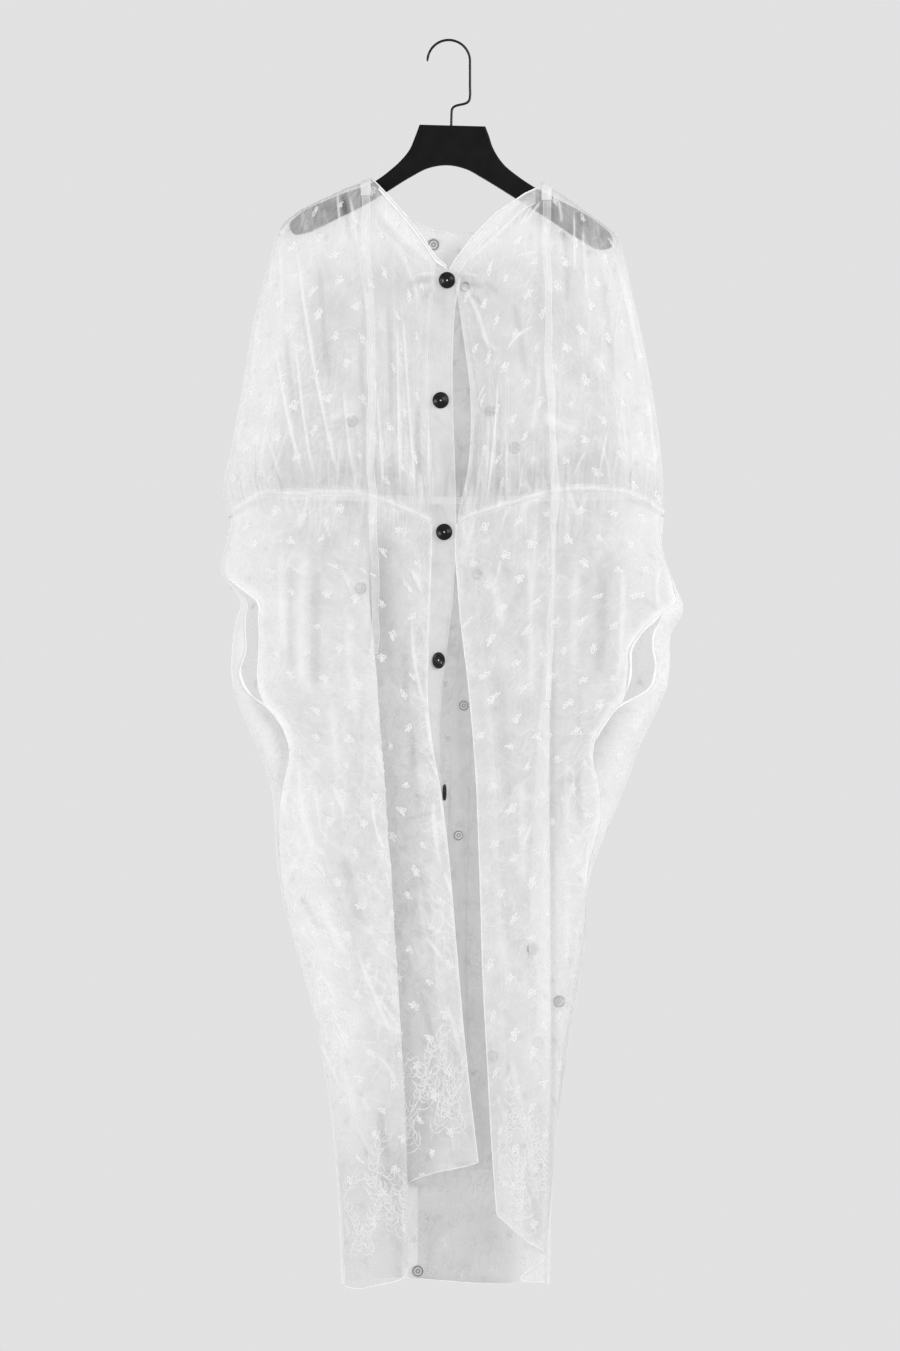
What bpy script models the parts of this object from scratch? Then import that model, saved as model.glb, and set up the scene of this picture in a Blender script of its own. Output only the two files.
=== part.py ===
"""A sheer cardigan dress hanging on a flat black hanger.

Metres, +Z up. The front faces -Y and +X is to the right of someone who looks at
it. The origin is the inside of the hook's top, where it bears. The tables hold
millimetres: a drop is a distance below the origin.
"""

import math

import bmesh
import bpy
import numpy as np
from mathutils import Matrix, Vector

MM = 0.001

# Driving sizes, in millimetres
CLOTH = 1.2
BAND_CLOTH = 2.0
SEAM_GAP = 0.4
SKIRT_GAP = 1.0
LAID_ON = CLOTH + 0.4
HALF_SEAM = 0.6
ROLL_POWER = 2.3
SHOULDER_ROLL = 10.0
WAIST_BAND_HEIGHT = 8.0
PLACKET_WIDTH = 29.0
INNER_LAYER_SET = 3.4
RIGHT_PLACKET_WIDTH = 27.0
TIE_WIDTH = 9.5
TIE_CLOTH = 1.0
LOOP_WIDTH = 12.0
LOOP_FRONT = 14.0
LOOP_BACK = 12.6
LOOP_DROP = 19.0
BUTTON_RADIUS = 10.0
BUTTON_WELL = 3.2
STUD_RADIUS = 8.0
STUD_THICKNESS = 1.6
SOCKET_THICKNESS = 1.0
CUFF_RADIUS = 2.2
HANGER_THICKNESS = 10.0
HANGER_EDGE_ROUND = 2.6
WIRE_RADIUS = 1.5
HOOK_RADIUS = 25.5
STEM_X = 3.0

# Outline of the hanging dress seen from the front: drop, x of the left edge
LEFT_SIDE = (
    (217, -198), (232, -206), (256, -213), (298, -225), (370, -240), (430, -250),
    (490, -261), (532, -270), (552, -270), (571, -262), (604, -267), (622, -272),
    (641, -272), (658, -260), (671, -250), (694, -255), (730, -260), (778, -258),
    (808, -247), (838, -234), (886, -216), (994, -205), (1030, -199), (1090, -183),
    (1150, -166), (1222, -151), (1342, -136), (1500, -128),
)
# Drop, x of the right edge
RIGHT_SIDE = (
    (233, 202), (250, 208), (298, 219), (346, 230), (442, 248), (490, 254),
    (526, 257), (571, 258), (604, 256), (622, 260), (641, 267), (658, 274),
    (676, 281), (688, 280), (706, 269), (749, 265), (778, 261), (795, 254),
    (814, 245), (838, 233), (886, 215), (910, 206), (946, 190), (994, 172),
    (1090, 158), (1222, 136), (1342, 126), (1500, 121),
)
# Shoulder line from end to end over the neck: x, drop
SHOULDER = (
    (-198, 217), (-178, 203), (-154, 191), (-124, 177), (-92, 166), (0, 166),
    (116, 173), (134, 183), (153, 196), (182, 217), (202, 233),
)
# Depth of the dress in front of and behind the hanger's plane: drop, front, back
DEPTH = (
    (160, 9.5, 9.5), (250, 11, 10.5), (400, 14, 12.5), (571, 16, 14), (700, 17, 15),
    (900, 17, 16), (1200, 16, 16), (1500, 14, 14),
)
# Width of the rounded side edge: drop, width
SIDE_ROLL = ((160, 8), (250, 8), (420, 18), (700, 20), (1500, 18))

# Neck edges of the fronts, from neck point to the crossing: x, drop
LEFT_NECK = ((-92, 166), (-75, 184), (-58, 203), (-34, 233), (-14, 262))
RIGHT_NECK = ((116, 173), (92, 184), (56, 208), (26, 239), (5, 268))
BACK_NECK = (
    (-92, 166), (-62, 196), (-43, 214), (-20, 225), (10, 230), (36, 227), (70, 205),
    (116, 173),
)
# Seam of the left front with its placket strip, and turn of that strip: drop, x, degrees
LEFT_CENTRE = (
    (262, -14, 0), (310, -20, 0), (600, -20, 0), (718, -24, 36), (790, -25, 56),
    (838, -20, 68), (901, -9, 85), (994, 2, 142), (1090, 10, 167), (1222, 22, 170),
    (1345, 36, 170),
)
# Fold that is the visible inner edge of the right front: drop, x
RIGHT_CENTRE = (
    (268, 5), (346, 16), (430, 26), (526, 21), (574, 10), (670, 12), (778, 24),
    (874, 32), (970, 36), (1150, 42), (1222, 46), (1330, 52), (1410, 58),
)
# Middle of the right placket strip: drop, x
RIGHT_PLACKET = (
    (282, 16), (364, 36), (448, 50), (550, 46), (640, 34), (797, 18), (952, 12),
    (1150, 10), (1352, 22),
)
# Waist seam: x, drop
LEFT_WAIST = ((-270, 573), (-250, 560), (-232, 547), (-178, 543), (-94, 545), (-58, 559), (-20, 575))
RIGHT_WAIST = (
    (10, 575), (38, 565), (74, 554), (119, 541), (182, 538), (212, 542), (242, 556), (262, 570),
)
BACK_WAIST = (
    (-270, 573), (-250, 560), (-232, 550), (-160, 546), (0, 550), (160, 546), (212, 546),
    (242, 556), (262, 570),
)

# Gathers that rise from the waist seam: x at the seam, lean, reach, height
LEFT_GATHERS = (
    (-240, -0.20, 120, 1.2), (-213, -0.24, 170, 1.7), (-194, -0.23, 150, 1.6),
    (-175, -0.21, 190, 2.2), (-157, -0.17, 160, 1.8), (-135, -0.11, 210, 2.1),
    (-112, -0.05, 230, 2.2), (-98, -0.02, 190, 1.8), (-73, 0.00, 200, 2.0),
    (-61, 0.01, 130, 1.2), (-49, 0.02, 170, 1.5), (-36, 0.03, 150, 1.2),
)
RIGHT_GATHERS = (
    (42, 0.03, 210, 2.2), (57, 0.05, 140, 1.5), (70, 0.07, 190, 2.0), (85, 0.08, 170, 1.7),
    (104, 0.09, 220, 2.2), (126, 0.12, 130, 1.3), (150, 0.16, 180, 1.9), (182, 0.20, 160, 1.6),
    (216, 0.22, 120, 1.2),
)
BACK_GATHERS = tuple(
    (-216 + 27 * step, 0.0009 * (-216 + 27 * step), 150 + 35 * (step % 3), 1.5 + 0.4 * (step % 2))
    for step in range(17)
)
# Pleats that fall from the shoulder beside the neck: x, lean, reach, height
LEFT_PLEATS = ((-128, -0.10, 110, 1.4), (-115, -0.08, 140, 1.6), (-102, -0.05, 120, 1.5))
RIGHT_PLEATS = ((112, 0.03, 130, 1.5), (126, 0.06, 120, 1.5), (141, 0.09, 100, 1.3))

# Big fold of each front skirt. Drop, x of its edge, bend, rise above the layer beside it
LEFT_FOLD = (
    (545, -98, 2, 0.5), (640, -98, 5, 4), (750, -88, 12, 9), (900, -76, 20, 13),
    (1090, -63, 22, 14), (1222, -55, 22, 14), (1351, -50, 22, 13), (1500, -50, 22, 12),
)
RIGHT_FOLD = (
    (540, 124, 1, 0.5), (640, 121, 3, 2), (750, 120, 7, 6), (900, 120, 12, 9),
    (1090, 121, 16, 10), (1270, 121, 17, 10), (1390, 117, 17, 10), (1500, 113, 17, 9),
)
LEFT_FOLD_SPREAD = 14.0
RIGHT_FOLD_SPREAD = 7.0

# Arm openings. Drop, how far the back is brought round the side, gap from there to the front
LEFT_OPENING = (
    (560, 5, 0.7), (640, 5, 0.7), (656, 6, 7), (672, 8, 13), (700, 13, 17), (730, 18, 16),
    (760, 12, 21), (782, 20, 12), (796, 32, 0.7), (818, 42, 0.7), (851, 38, 0.7),
    (890, 18, 0.7), (930, 7, 0.7), (990, 5, 0.7), (1500, 5, 0.7),
)
RIGHT_OPENING = (
    (560, 5, 0.7), (660, 5, 0.7), (676, 10, 0.7), (686, 24, 1), (700, 22, 10), (714, 22, 17),
    (730, 21, 26), (757, 18, 29), (782, 27, 21), (796, 47, 0.7), (818, 56, 0.7),
    (851, 54, 0.7), (890, 34, 0.7), (930, 15, 0.7), (990, 5, 0.7), (1500, 5, 0.7),
)
OPENING_ENDS = {"left": (645, 792), "right": (684, 788)}

# Hems. Position across from the side to the centre front, drop
LEFT_HEM = ((0.0, 1489), (0.25, 1489), (0.46, 1470), (0.66, 1398), (0.72, 1378), (1.0, 1342))
RIGHT_HEM = ((0.0, 1490), (0.14, 1486), (0.40, 1483), (0.55, 1465), (0.72, 1440), (0.85, 1424), (1.0, 1404))
BACK_HEM = ((0.0, 1489), (0.35, 1487), (0.65, 1493), (1.0, 1490))

# Ties: drop, x, depth in front
LEFT_TIE = (
    (187.9, -99, 14), (240, -99, 16.5), (330, -94, 18.5), (430, -92, 20.5), (526, -92, 22),
    (622, -88, 25), (694, -87, 27), (735, -89, 28),
)
RIGHT_TIE = (
    (193.1, 117, 14), (250, 117, 16.5), (310, 118, 18), (406, 120, 20), (478, 125, 21.5),
    (538, 126, 23), (600, 125, 24.5), (691, 122, 26), (790, 119, 29),
)

# Neck edgings: how far down they reach at the back, x where they end beside each shoulder
NECK_FACING_LOW = 262
NECK_EDGE_LEFT = -84
NECK_EDGE_RIGHT = 105

# Steps of width just inside a neck point, where the edge turns forward over the hanger
NECK_STEPS = np.array([0.0, 0.012, 0.030])

# Buttons: drop, extra room over the strip's twist
BUTTONS = ((281, 0), (433, 0), (590, 0.1), (743, 0.65), (901, 0.1))
SOCKET_DROPS = (296, 445, 640, 797, 952)
# Studs on the inside of the back: x, drop
BACK_STUDS = (
    (-18, 243), (-116, 455), (80, 487), (-106, 656), (101, 1090), (133, 1153),
    (108, 1203), (53, 1220), (-37, 1478),
)

# Hanger outline, clockwise from its top left corner: x, drop, whether the point is a corner
HANGER_OUTLINE = (
    (-35, 100.5, True), (44, 102.6, True), (48, 113, False), (53, 128, False), (66, 148, False),
    (84, 163, False), (102, 175, False), (129, 189.5, False), (153, 201.5, False),
    (180, 219, False), (196, 236, False), (196, 246, False), (184, 250, False),
    (158, 238, False), (118, 212, False), (81, 189, False), (42, 165, False), (20, 153, False),
    (-3, 148.6, False), (-24, 152, False), (-46, 163, False), (-75, 181, False),
    (-110, 201, False), (-147, 219, False), (-172, 230, False), (-186, 231, False),
    (-191, 223, False), (-178, 207, False), (-150, 193, False), (-118, 180, False),
    (-96, 172.5, False), (-84, 165.5, False), (-72, 156.5, False), (-57, 143, False),
    (-48, 132, False), (-40, 114, False),
)

COLLECTION = "cardigan_dress_on_hanger"

# Colour, roughness, metallic
FINISHES = {
    "sheer_cloth": ((0.90, 0.90, 0.90, 1), 0.85, 0.0),
    "band_cloth": ((0.96, 0.96, 0.96, 1), 0.85, 0.0),
    "tie_cloth": ((0.94, 0.94, 0.94, 1), 0.80, 0.0),
    "button_black": ((0.012, 0.012, 0.012, 1), 0.30, 0.0),
    "stud_grey": ((0.35, 0.35, 0.35, 1), 0.45, 0.0),
    "hanger_black": ((0.015, 0.015, 0.016, 1), 0.45, 0.0),
    "wire_black": ((0.012, 0.012, 0.012, 1), 0.30, 0.6),
}


def column(table, index):
    """Smooth function of a table's first column that gives another column, through its rows."""
    rows = np.array(table, float)
    at, value = rows[:, 0], rows[:, index]
    slope = np.gradient(value, at)

    def read(place):
        place = np.clip(place, at[0], at[-1])
        row = np.clip(np.searchsorted(at, place, side="right") - 1, 0, len(at) - 2)
        step = at[row + 1] - at[row]
        part = (place - at[row]) / step
        return (
            (1 + 2 * part) * (1 - part) ** 2 * value[row]
            + part * (1 - part) ** 2 * step * slope[row]
            + part**2 * (3 - 2 * part) * value[row + 1]
            - part**2 * (1 - part) * step * slope[row + 1]
        )

    return read


def straight(table, index):
    """Function of a table's first column that gives another column, in straight runs."""
    rows = np.array(table, float)
    return lambda place: np.interp(place, rows[:, 0], rows[:, index])


left_side = straight(LEFT_SIDE, 1)
right_side = straight(RIGHT_SIDE, 1)
shoulder_drop = straight(SHOULDER, 1)
front_depth = column(DEPTH, 1)
back_depth = column(DEPTH, 2)
side_roll = column(SIDE_ROLL, 1)
left_centre = column(LEFT_CENTRE, 1)
left_turn = column(LEFT_CENTRE, 2)
right_centre = column(RIGHT_CENTRE, 1)
right_placket = column(RIGHT_PLACKET, 1)
hanger_top = straight(HANGER_OUTLINE[:2], 1)


def ease(value):
    """Rise from 0 to 1, level at both ends."""
    value = np.clip(value, 0, 1)
    return value * value * (3 - 2 * value)


def rounded(value):
    """Height of a rounded edge along a superellipse: 0 at the edge, 1 from 1 on."""
    value = np.clip(value, 0, 1)
    return (1 - (1 - value) ** ROLL_POWER) ** (1 / ROLL_POWER)


def edge_round(x, drop):
    """Share of the full depth that the dress has at a place, less near its sides and shoulders."""
    roll = side_roll(drop)
    near_left = rounded((x - left_side(drop)) / roll)
    near_right = rounded((right_side(drop) - x) / roll)
    below_shoulder = rounded((drop - shoulder_drop(x)) / SHOULDER_ROLL)
    return near_left * near_right * below_shoulder


def ridges(x, drop, rows, seam):
    """Soft ridges that start at a seam and lean as they leave it: height in front of the cloth."""
    away = np.abs(seam - drop)
    total = np.zeros_like(x)
    for start, lean, reach, height in rows:
        across = (x - start - lean * away) / (4.5 + 0.02 * away)
        total += height * np.exp(-(across**2)) * (1 - ease(away / reach))
    return total


def front_bias(x):
    """How far the left front stands in front of the right one, towards its centre edge."""
    return 5.0 * ease((x + 85) / 60)


def right_recess(drop):
    """How far the right front hangs behind the dress's full depth, below the waist."""
    return 1.5 * ease((drop - 600) / 200)


def drape(grid_x, drop, side):
    """Depth of the bodice front in front of the hanger's plane, side being left or right."""
    if side == "left":
        waist, rows, pleats = straight(LEFT_WAIST, 1)(grid_x), LEFT_GATHERS, LEFT_PLEATS
        extra = front_bias(grid_x)
    else:
        waist, rows, pleats = straight(RIGHT_WAIST, 1)(grid_x), RIGHT_GATHERS, RIGHT_PLEATS
        extra = 0
    full = front_depth(drop) + extra
    full = full + ridges(grid_x, drop, rows, waist)
    full = full + ridges(grid_x, drop, pleats, shoulder_drop(grid_x))
    return HALF_SEAM + (full - HALF_SEAM) * edge_round(grid_x, drop)


def along(table, share):
    """Points at shares of the length of a short open line given by a table of x and drop."""
    rows = np.array(table, float)
    length = np.concatenate([[0], np.cumsum(np.hypot(*np.diff(rows, axis=0).T))])
    place = share * length[-1]
    return np.interp(place, length, rows[:, 0]), np.interp(place, length, rows[:, 1])


def across_steps(count, crowd_start, crowd_end):
    """Shares from 0 to 1, closer together at a rounded edge."""
    even = np.linspace(0, 1, count)
    if crowd_start and crowd_end:
        return (1 - np.cos(math.pi * even)) / 2 * 0.6 + even * 0.4
    if crowd_start:
        return 0.55 * (1 - np.cos(math.pi / 2 * even)) + 0.45 * even**1.3
    return even


def with_steps(share, more):
    """Shares with a few more put in, for a corner that the even steps would cut off."""
    return np.sort(np.concatenate([share, more]))


def bodice_front(side, columns, rows):
    """Grid of a bodice front: columns from the side to the centre, rows from the top to the waist."""
    neck_share = 0.60
    share = with_steps(across_steps(columns - 3, True, False), neck_share + NECK_STEPS)
    if side == "left":
        ends, neck = [row for row in SHOULDER if row[0] <= -92], LEFT_NECK
        outer, inner, waist = left_side, left_centre, LEFT_WAIST
        sign = -1
    else:
        ends, neck = [row for row in SHOULDER[::-1] if row[0] >= 116], RIGHT_NECK
        outer, inner, waist = right_side, right_centre, RIGHT_WAIST
        sign = 1
    shoulder_x, shoulder_d = along(ends, np.clip(share / neck_share, 0, 1))
    neck_x, neck_d = along(neck, np.clip((share - neck_share) / (1 - neck_share), 0, 1))
    on_neck = share > neck_share
    top_x = np.where(on_neck, neck_x, shoulder_x)
    top_d = np.where(on_neck, neck_d, shoulder_d)
    waist_of = straight(waist, 1)
    side_at_waist = float(outer(571))
    centre_at_waist = float(inner(571)) + sign * SEAM_GAP * (side == "left")
    low_x = side_at_waist + share * (centre_at_waist - side_at_waist)
    for _ in range(4):
        low_d = waist_of(low_x) - WAIST_BAND_HEIGHT / 2 - SEAM_GAP
        low_x = low_x + (outer(low_d[0]) - low_x[0]) * (1 - share) ** 3
    down = rows[:, None]
    x = (1 - down) * top_x + down * low_x
    drop = (1 - down) * top_d + down * low_d
    at_side = outer(drop[:, :1]) - x[:, :1]
    at_centre = inner(drop[:, -1:]) + sign * SEAM_GAP * (side == "left") - x[:, -1:]
    x = x + at_side * (1 - share) ** 3 + at_centre * share**5
    return np.stack([x, -drape(x, drop, side), -drop], axis=-1)


def bodice_back(columns, rows):
    """Grid of the back bodice: columns from left to right, rows from the top to the waist."""
    near_necks = np.concatenate([0.30 + NECK_STEPS, 0.68 - NECK_STEPS])
    share = with_steps(across_steps(columns - 6, True, True), near_necks)
    left_end = [row for row in SHOULDER if row[0] <= -92]
    right_end = [row for row in SHOULDER if row[0] >= 116]
    pieces = (
        (0.0, 0.30, left_end), (0.30, 0.68, BACK_NECK), (0.68, 1.0, right_end),
    )
    top_x, top_d = np.zeros(columns), np.zeros(columns)
    for start, stop, table in pieces:
        inside = (share >= start) & (share <= stop)
        top_x[inside], top_d[inside] = along(table, (share[inside] - start) / (stop - start))
    low_x = float(left_side(571)) + share * float(right_side(571) - left_side(571))
    for _ in range(4):
        low_d = straight(BACK_WAIST, 1)(low_x) - WAIST_BAND_HEIGHT / 2 - SEAM_GAP
        low_x = low_x + (left_side(low_d[0]) - low_x[0]) * (1 - share) ** 3
        low_x = low_x + (right_side(low_d[-1]) - low_x[-1]) * share**3
    down = rows[:, None]
    x = (1 - down) * top_x + down * low_x
    drop = (1 - down) * top_d + down * low_d
    at_left = left_side(drop[:, :1]) - x[:, :1]
    at_right = right_side(drop[:, -1:]) - x[:, -1:]
    x = x + at_left * (1 - share) ** 3 + at_right * share**3
    full = back_depth(drop) + ridges(x, drop, BACK_GATHERS, straight(BACK_WAIST, 1)(x))
    y = HALF_SEAM + (full - HALF_SEAM) * edge_round(x, drop)
    return np.stack([x, y, -drop], axis=-1)


def opening_edges(side, drop):
    """Front-side x of the back's edge and of the front's edge, which part at the arm opening."""
    if side == "left":
        back = left_side(drop) + straight(LEFT_OPENING, 1)(drop)
        return back, back + straight(LEFT_OPENING, 2)(drop)
    back = right_side(drop) - straight(RIGHT_OPENING, 1)(drop)
    return back, back - straight(RIGHT_OPENING, 2)(drop)


def fold_section(drop, table, spread, count):
    """Section of an overlapping fold: x and share of the way from the front layer to the rear one.

    x = middle + spread * turn - bend * sin(pi * turn), for a turn from -1 to 1, so the
    cloth runs forward to the fold's edge, back to its inner crease and forward again.
    """
    turn = np.linspace(-1, 1, count)
    edge, bend = column(table, 1)(drop), column(table, 2)(drop)
    middle = edge + spread / 2 - bend
    x = middle + spread * turn - bend * np.sin(math.pi * turn)
    return x, ease((turn + 1) / 2) * 0.5 + (turn + 1) / 4


def skirt_front(side, counts, rows):
    """Grid of a front skirt. Columns: side part, fold, centre part, from the side inwards."""
    side_count, fold_count, centre_count = counts
    columns = side_count + fold_count + centre_count
    share = np.linspace(0, 1, columns)
    if side == "left":
        table, spread, hem, waist = LEFT_FOLD, LEFT_FOLD_SPREAD, LEFT_HEM, LEFT_WAIST
        inner = left_centre
        inner_gap = -SEAM_GAP
    else:
        table, spread, hem, waist = RIGHT_FOLD, RIGHT_FOLD_SPREAD, RIGHT_HEM, RIGHT_WAIST
        inner = right_centre
        inner_gap = 0.0
    waist_of = straight(waist, 1)

    def outer(level):
        return opening_edges(side, level)[1]

    def section(drop):
        """x and fold share across one drop, drop being an array of one value a column."""
        x, part = np.zeros(columns), np.zeros(columns)
        for index in range(columns):
            level = drop[index]
            fold_x, fold_part = fold_section(level, table, spread, fold_count)
            if side == "right":
                fold_x, fold_part = fold_x[::-1], fold_part[::-1]
            if index < side_count:
                step = across_steps(side_count + 1, True, False)[index]
                x[index] = outer(level) + step * (fold_x[0] - outer(level))
                part[index] = fold_part[0]
            elif index < side_count + fold_count:
                x[index] = fold_x[index - side_count]
                part[index] = fold_part[index - side_count]
            else:
                step = (index - side_count - fold_count + 1) / centre_count
                x[index] = fold_x[-1] + step * (inner(level) + inner_gap - fold_x[-1])
                part[index] = fold_part[-1]
        return x, part

    top = np.full(columns, 565.0)
    for _ in range(4):
        top = waist_of(section(top)[0]) + WAIST_BAND_HEIGHT / 2 + SKIRT_GAP
    bottom = column(hem, 1)(share)
    points = []
    for down in rows:
        drop = top + down * (bottom - top)
        x, part = section(drop)
        rise = column(table, 3)(drop)
        full = front_depth(drop) + rise * (1 - part)
        if side == "left":
            full = full + front_bias(x) * part
        else:
            full = full - part * right_recess(drop)
        soft = 1.6 * np.sin(x / 17 + drop / 210) * ease((drop - 600) / 300) * (part == part[0])
        y = -(HALF_SEAM + (full + soft - HALF_SEAM) * edge_round(x, drop))
        points.append(np.stack([x, y, -drop], axis=-1))
    return np.array(points)


def skirt_back(wrap_count, face_count, rows):
    """Grid of the back skirt, whose side edges are brought round to the front."""
    wrap = 1 - np.cos(math.pi / 2 * np.linspace(0, 1, wrap_count + 1))
    face = across_steps(face_count, True, True)
    share = np.concatenate([np.zeros(wrap_count), face, np.ones(wrap_count)])
    left_wrap, right_wrap = straight(LEFT_OPENING, 1), straight(RIGHT_OPENING, 1)

    def section(drop):
        """x across one drop, drop being an array of one value a column."""
        low, high = left_side(drop), right_side(drop)
        x = low + share * (high - low)
        steps = wrap[:0:-1]
        x[:wrap_count] = low[:wrap_count] + steps * left_wrap(drop[:wrap_count])
        x[-wrap_count:] = high[-wrap_count:] - steps[::-1] * right_wrap(drop[-wrap_count:])
        return x

    top = np.full(len(share), 565.0)
    for _ in range(4):
        top = straight(BACK_WAIST, 1)(section(top)) + WAIST_BAND_HEIGHT / 2 + SKIRT_GAP
    bottom = column(BACK_HEM, 1)(share)
    points = []
    for down in rows:
        drop = top + down * (bottom - top)
        x = section(drop)
        on_front = np.zeros(len(x), bool)
        on_front[:wrap_count] = True
        on_front[-wrap_count:] = True
        soft = 2.2 * np.sin(x / 15 + drop / 260) * ease((drop - 590) / 300)
        full = np.where(on_front, front_depth(drop), back_depth(drop) + soft)
        y = full * edge_round(x, drop)
        points.append(np.stack([x, np.where(on_front, -y, y), -drop], axis=-1))
    return np.array(points)


def moved_out(grid, distance):
    """A grid's points moved along its normals, positive being away from the hanger's plane."""
    along_row = np.gradient(grid, axis=1)
    along_column = np.gradient(grid, axis=0)
    normal = np.cross(along_row, along_column)
    normal /= np.linalg.norm(normal, axis=-1, keepdims=True)
    outward = np.sign(grid[..., 1:2] * normal[..., 1:2])
    return grid + normal * outward * distance


def waist_band(bodice, depth_of):
    """Grid of a waist band that hangs from the lower edge of a bodice grid."""
    x, drop = bodice[-1, :, 0], -bodice[-1, :, 2] + SEAM_GAP
    rows = []
    for level in (drop, drop + WAIST_BAND_HEIGHT):
        rows.append(np.stack([x, depth_of(x, level), -level], axis=-1))
    return np.array(rows)


def finish_for(name):
    """The named material, made once."""
    material = bpy.data.materials.get(name)
    if material is None:
        colour, roughness, metallic = FINISHES[name]
        material = bpy.data.materials.new(name)
        material.use_nodes = True
        shader = material.node_tree.nodes["Principled BSDF"]
        shader.inputs["Base Color"].default_value = colour
        shader.inputs["Roughness"].default_value = roughness
        shader.inputs["Metallic"].default_value = metallic
        material.diffuse_color = colour
    return material


def add(collection, name, data, finish):
    """A new object of this data in the collection, with its own finish."""
    made = bpy.data.objects.new(name, data)
    collection.objects.link(made)
    made.data.materials.append(finish_for(finish))
    return made


def sheet(collection, name, grid, finish, wall=CLOTH):
    """A wall of cloth from a grid of points in millimetres."""
    rows, columns, _ = grid.shape
    index = np.arange(rows * columns).reshape(rows, columns)
    faces = np.stack([index[:-1, :-1], index[:-1, 1:], index[1:, 1:], index[1:, :-1]], axis=-1)
    mesh = bpy.data.meshes.new(name)
    mesh.from_pydata((grid.reshape(-1, 3) * MM).tolist(), [], faces.reshape(-1, 4).tolist())
    mesh.shade_smooth()
    made = add(collection, name, mesh, finish)
    solid = made.modifiers.new("wall", "SOLIDIFY")
    solid.thickness = wall * MM
    solid.offset = 0
    return made


def rod(collection, name, points, radius, finish, resolution=2):
    """A round rod with closed ends along points in millimetres."""
    curve = bpy.data.curves.new(name, "CURVE")
    curve.dimensions = "3D"
    curve.bevel_depth = radius * MM
    curve.bevel_resolution = resolution
    curve.use_fill_caps = True
    spline = curve.splines.new("POLY")
    spline.points.add(len(points) - 1)
    for place, point in zip(spline.points, points):
        place.co = (point[0] * MM, point[1] * MM, point[2] * MM, 1)
    return add(collection, name, curve, finish)


def hanger(collection):
    """Flat hanger body from its outline, with rounded edges."""
    curve = bpy.data.curves.new("hanger_body", "CURVE")
    curve.dimensions = "2D"
    curve.fill_mode = "BOTH"
    curve.resolution_u = 2
    curve.bevel_depth = HANGER_EDGE_ROUND * MM
    curve.bevel_resolution = 1
    curve.offset = -HANGER_EDGE_ROUND * MM
    curve.extrude = (HANGER_THICKNESS / 2 - HANGER_EDGE_ROUND) * MM
    spline = curve.splines.new("BEZIER")
    spline.use_cyclic_u = True
    spline.bezier_points.add(len(HANGER_OUTLINE) - 1)
    for point, (x, drop, corner) in zip(spline.bezier_points, HANGER_OUTLINE):
        point.co = (x * MM, -drop * MM, 0)
        kind = "VECTOR" if corner else "AUTO"
        point.handle_left_type = kind
        point.handle_right_type = kind
    made = add(collection, "hanger_body", curve, "hanger_black")
    made.rotation_euler = (math.pi / 2, 0, 0)
    return made


def hook(collection):
    """Wire hook: a half ring, a straight drop, a small crank and the stem down to the hanger."""
    ring = [
        (HOOK_RADIUS * math.cos(angle), 0, HOOK_RADIUS * math.sin(angle) - HOOK_RADIUS + WIRE_RADIUS)
        for angle in np.linspace(math.pi, 0, 15)
    ]
    side = HOOK_RADIUS
    crank = (
        (side, -40), (side, -54), (side, -66), (side - 0.6, -70), (side - 2.8, -73.2), (side - 6.5, -75),
        (side - 12, -76.2), (8.5, -77.6), (5.4, -79.4), (3.9, -82), (3.4, -86), (3.2, -92),
    )
    stem_foot = (STEM_X, 0, SEAM_GAP - float(hanger_top(STEM_X)))
    points = ring + [(x, 0, z) for x, z in crank] + [stem_foot]
    return rod(collection, "hanger_hook", points, WIRE_RADIUS, "wire_black")


def placket_left(columns, drops):
    """Grid of the left placket strip, which turns under lower down, about its seam."""
    seam_x, turn = left_centre(drops), np.radians(left_turn(drops))
    front = -(front_depth(drops) + front_bias(seam_x)) + 2.2 * ease(turn / 2.4)
    reach = np.linspace(0, PLACKET_WIDTH, columns)
    x = seam_x[:, None] + reach * np.cos(turn)[:, None]
    y = front[:, None] + reach * np.sin(turn)[:, None]
    slant = 0.7 * (1 - ease((drops - LEFT_CENTRE[0][0]) / 70))
    drop = drops[:, None] + slant[:, None] * reach
    return np.stack([x, y, -drop], axis=-1)


def inner_layer_depth(drop):
    """Depth of the layer behind the right front's inner edge."""
    return front_depth(drop) - INNER_LAYER_SET - 1.8 * ease((drop - 600) / 100)


def placket_right(drops):
    """Grid of the right placket strip, behind the right front and then in the gap."""
    middle = right_placket(drops)[:, None]
    x = middle + np.array([-0.5, 0, 0.5]) * RIGHT_PLACKET_WIDTH
    drop = drops[:, None] + 0 * x
    return np.stack([x, -inner_layer_depth(drop), -drop], axis=-1)


def right_return(columns, drops):
    """Grid of the layer between the right placket strip and the crease behind the right front."""
    start = right_placket(drops) + RIGHT_PLACKET_WIDTH / 2 + SEAM_GAP
    stop = np.maximum(right_centre(drops) + 16, start + 10)
    x = start[:, None] + np.linspace(0, 1, columns) * (stop - start)[:, None]
    drop = drops[:, None] + 0 * x
    return np.stack([x, -inner_layer_depth(drop), -drop], axis=-1)


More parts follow.
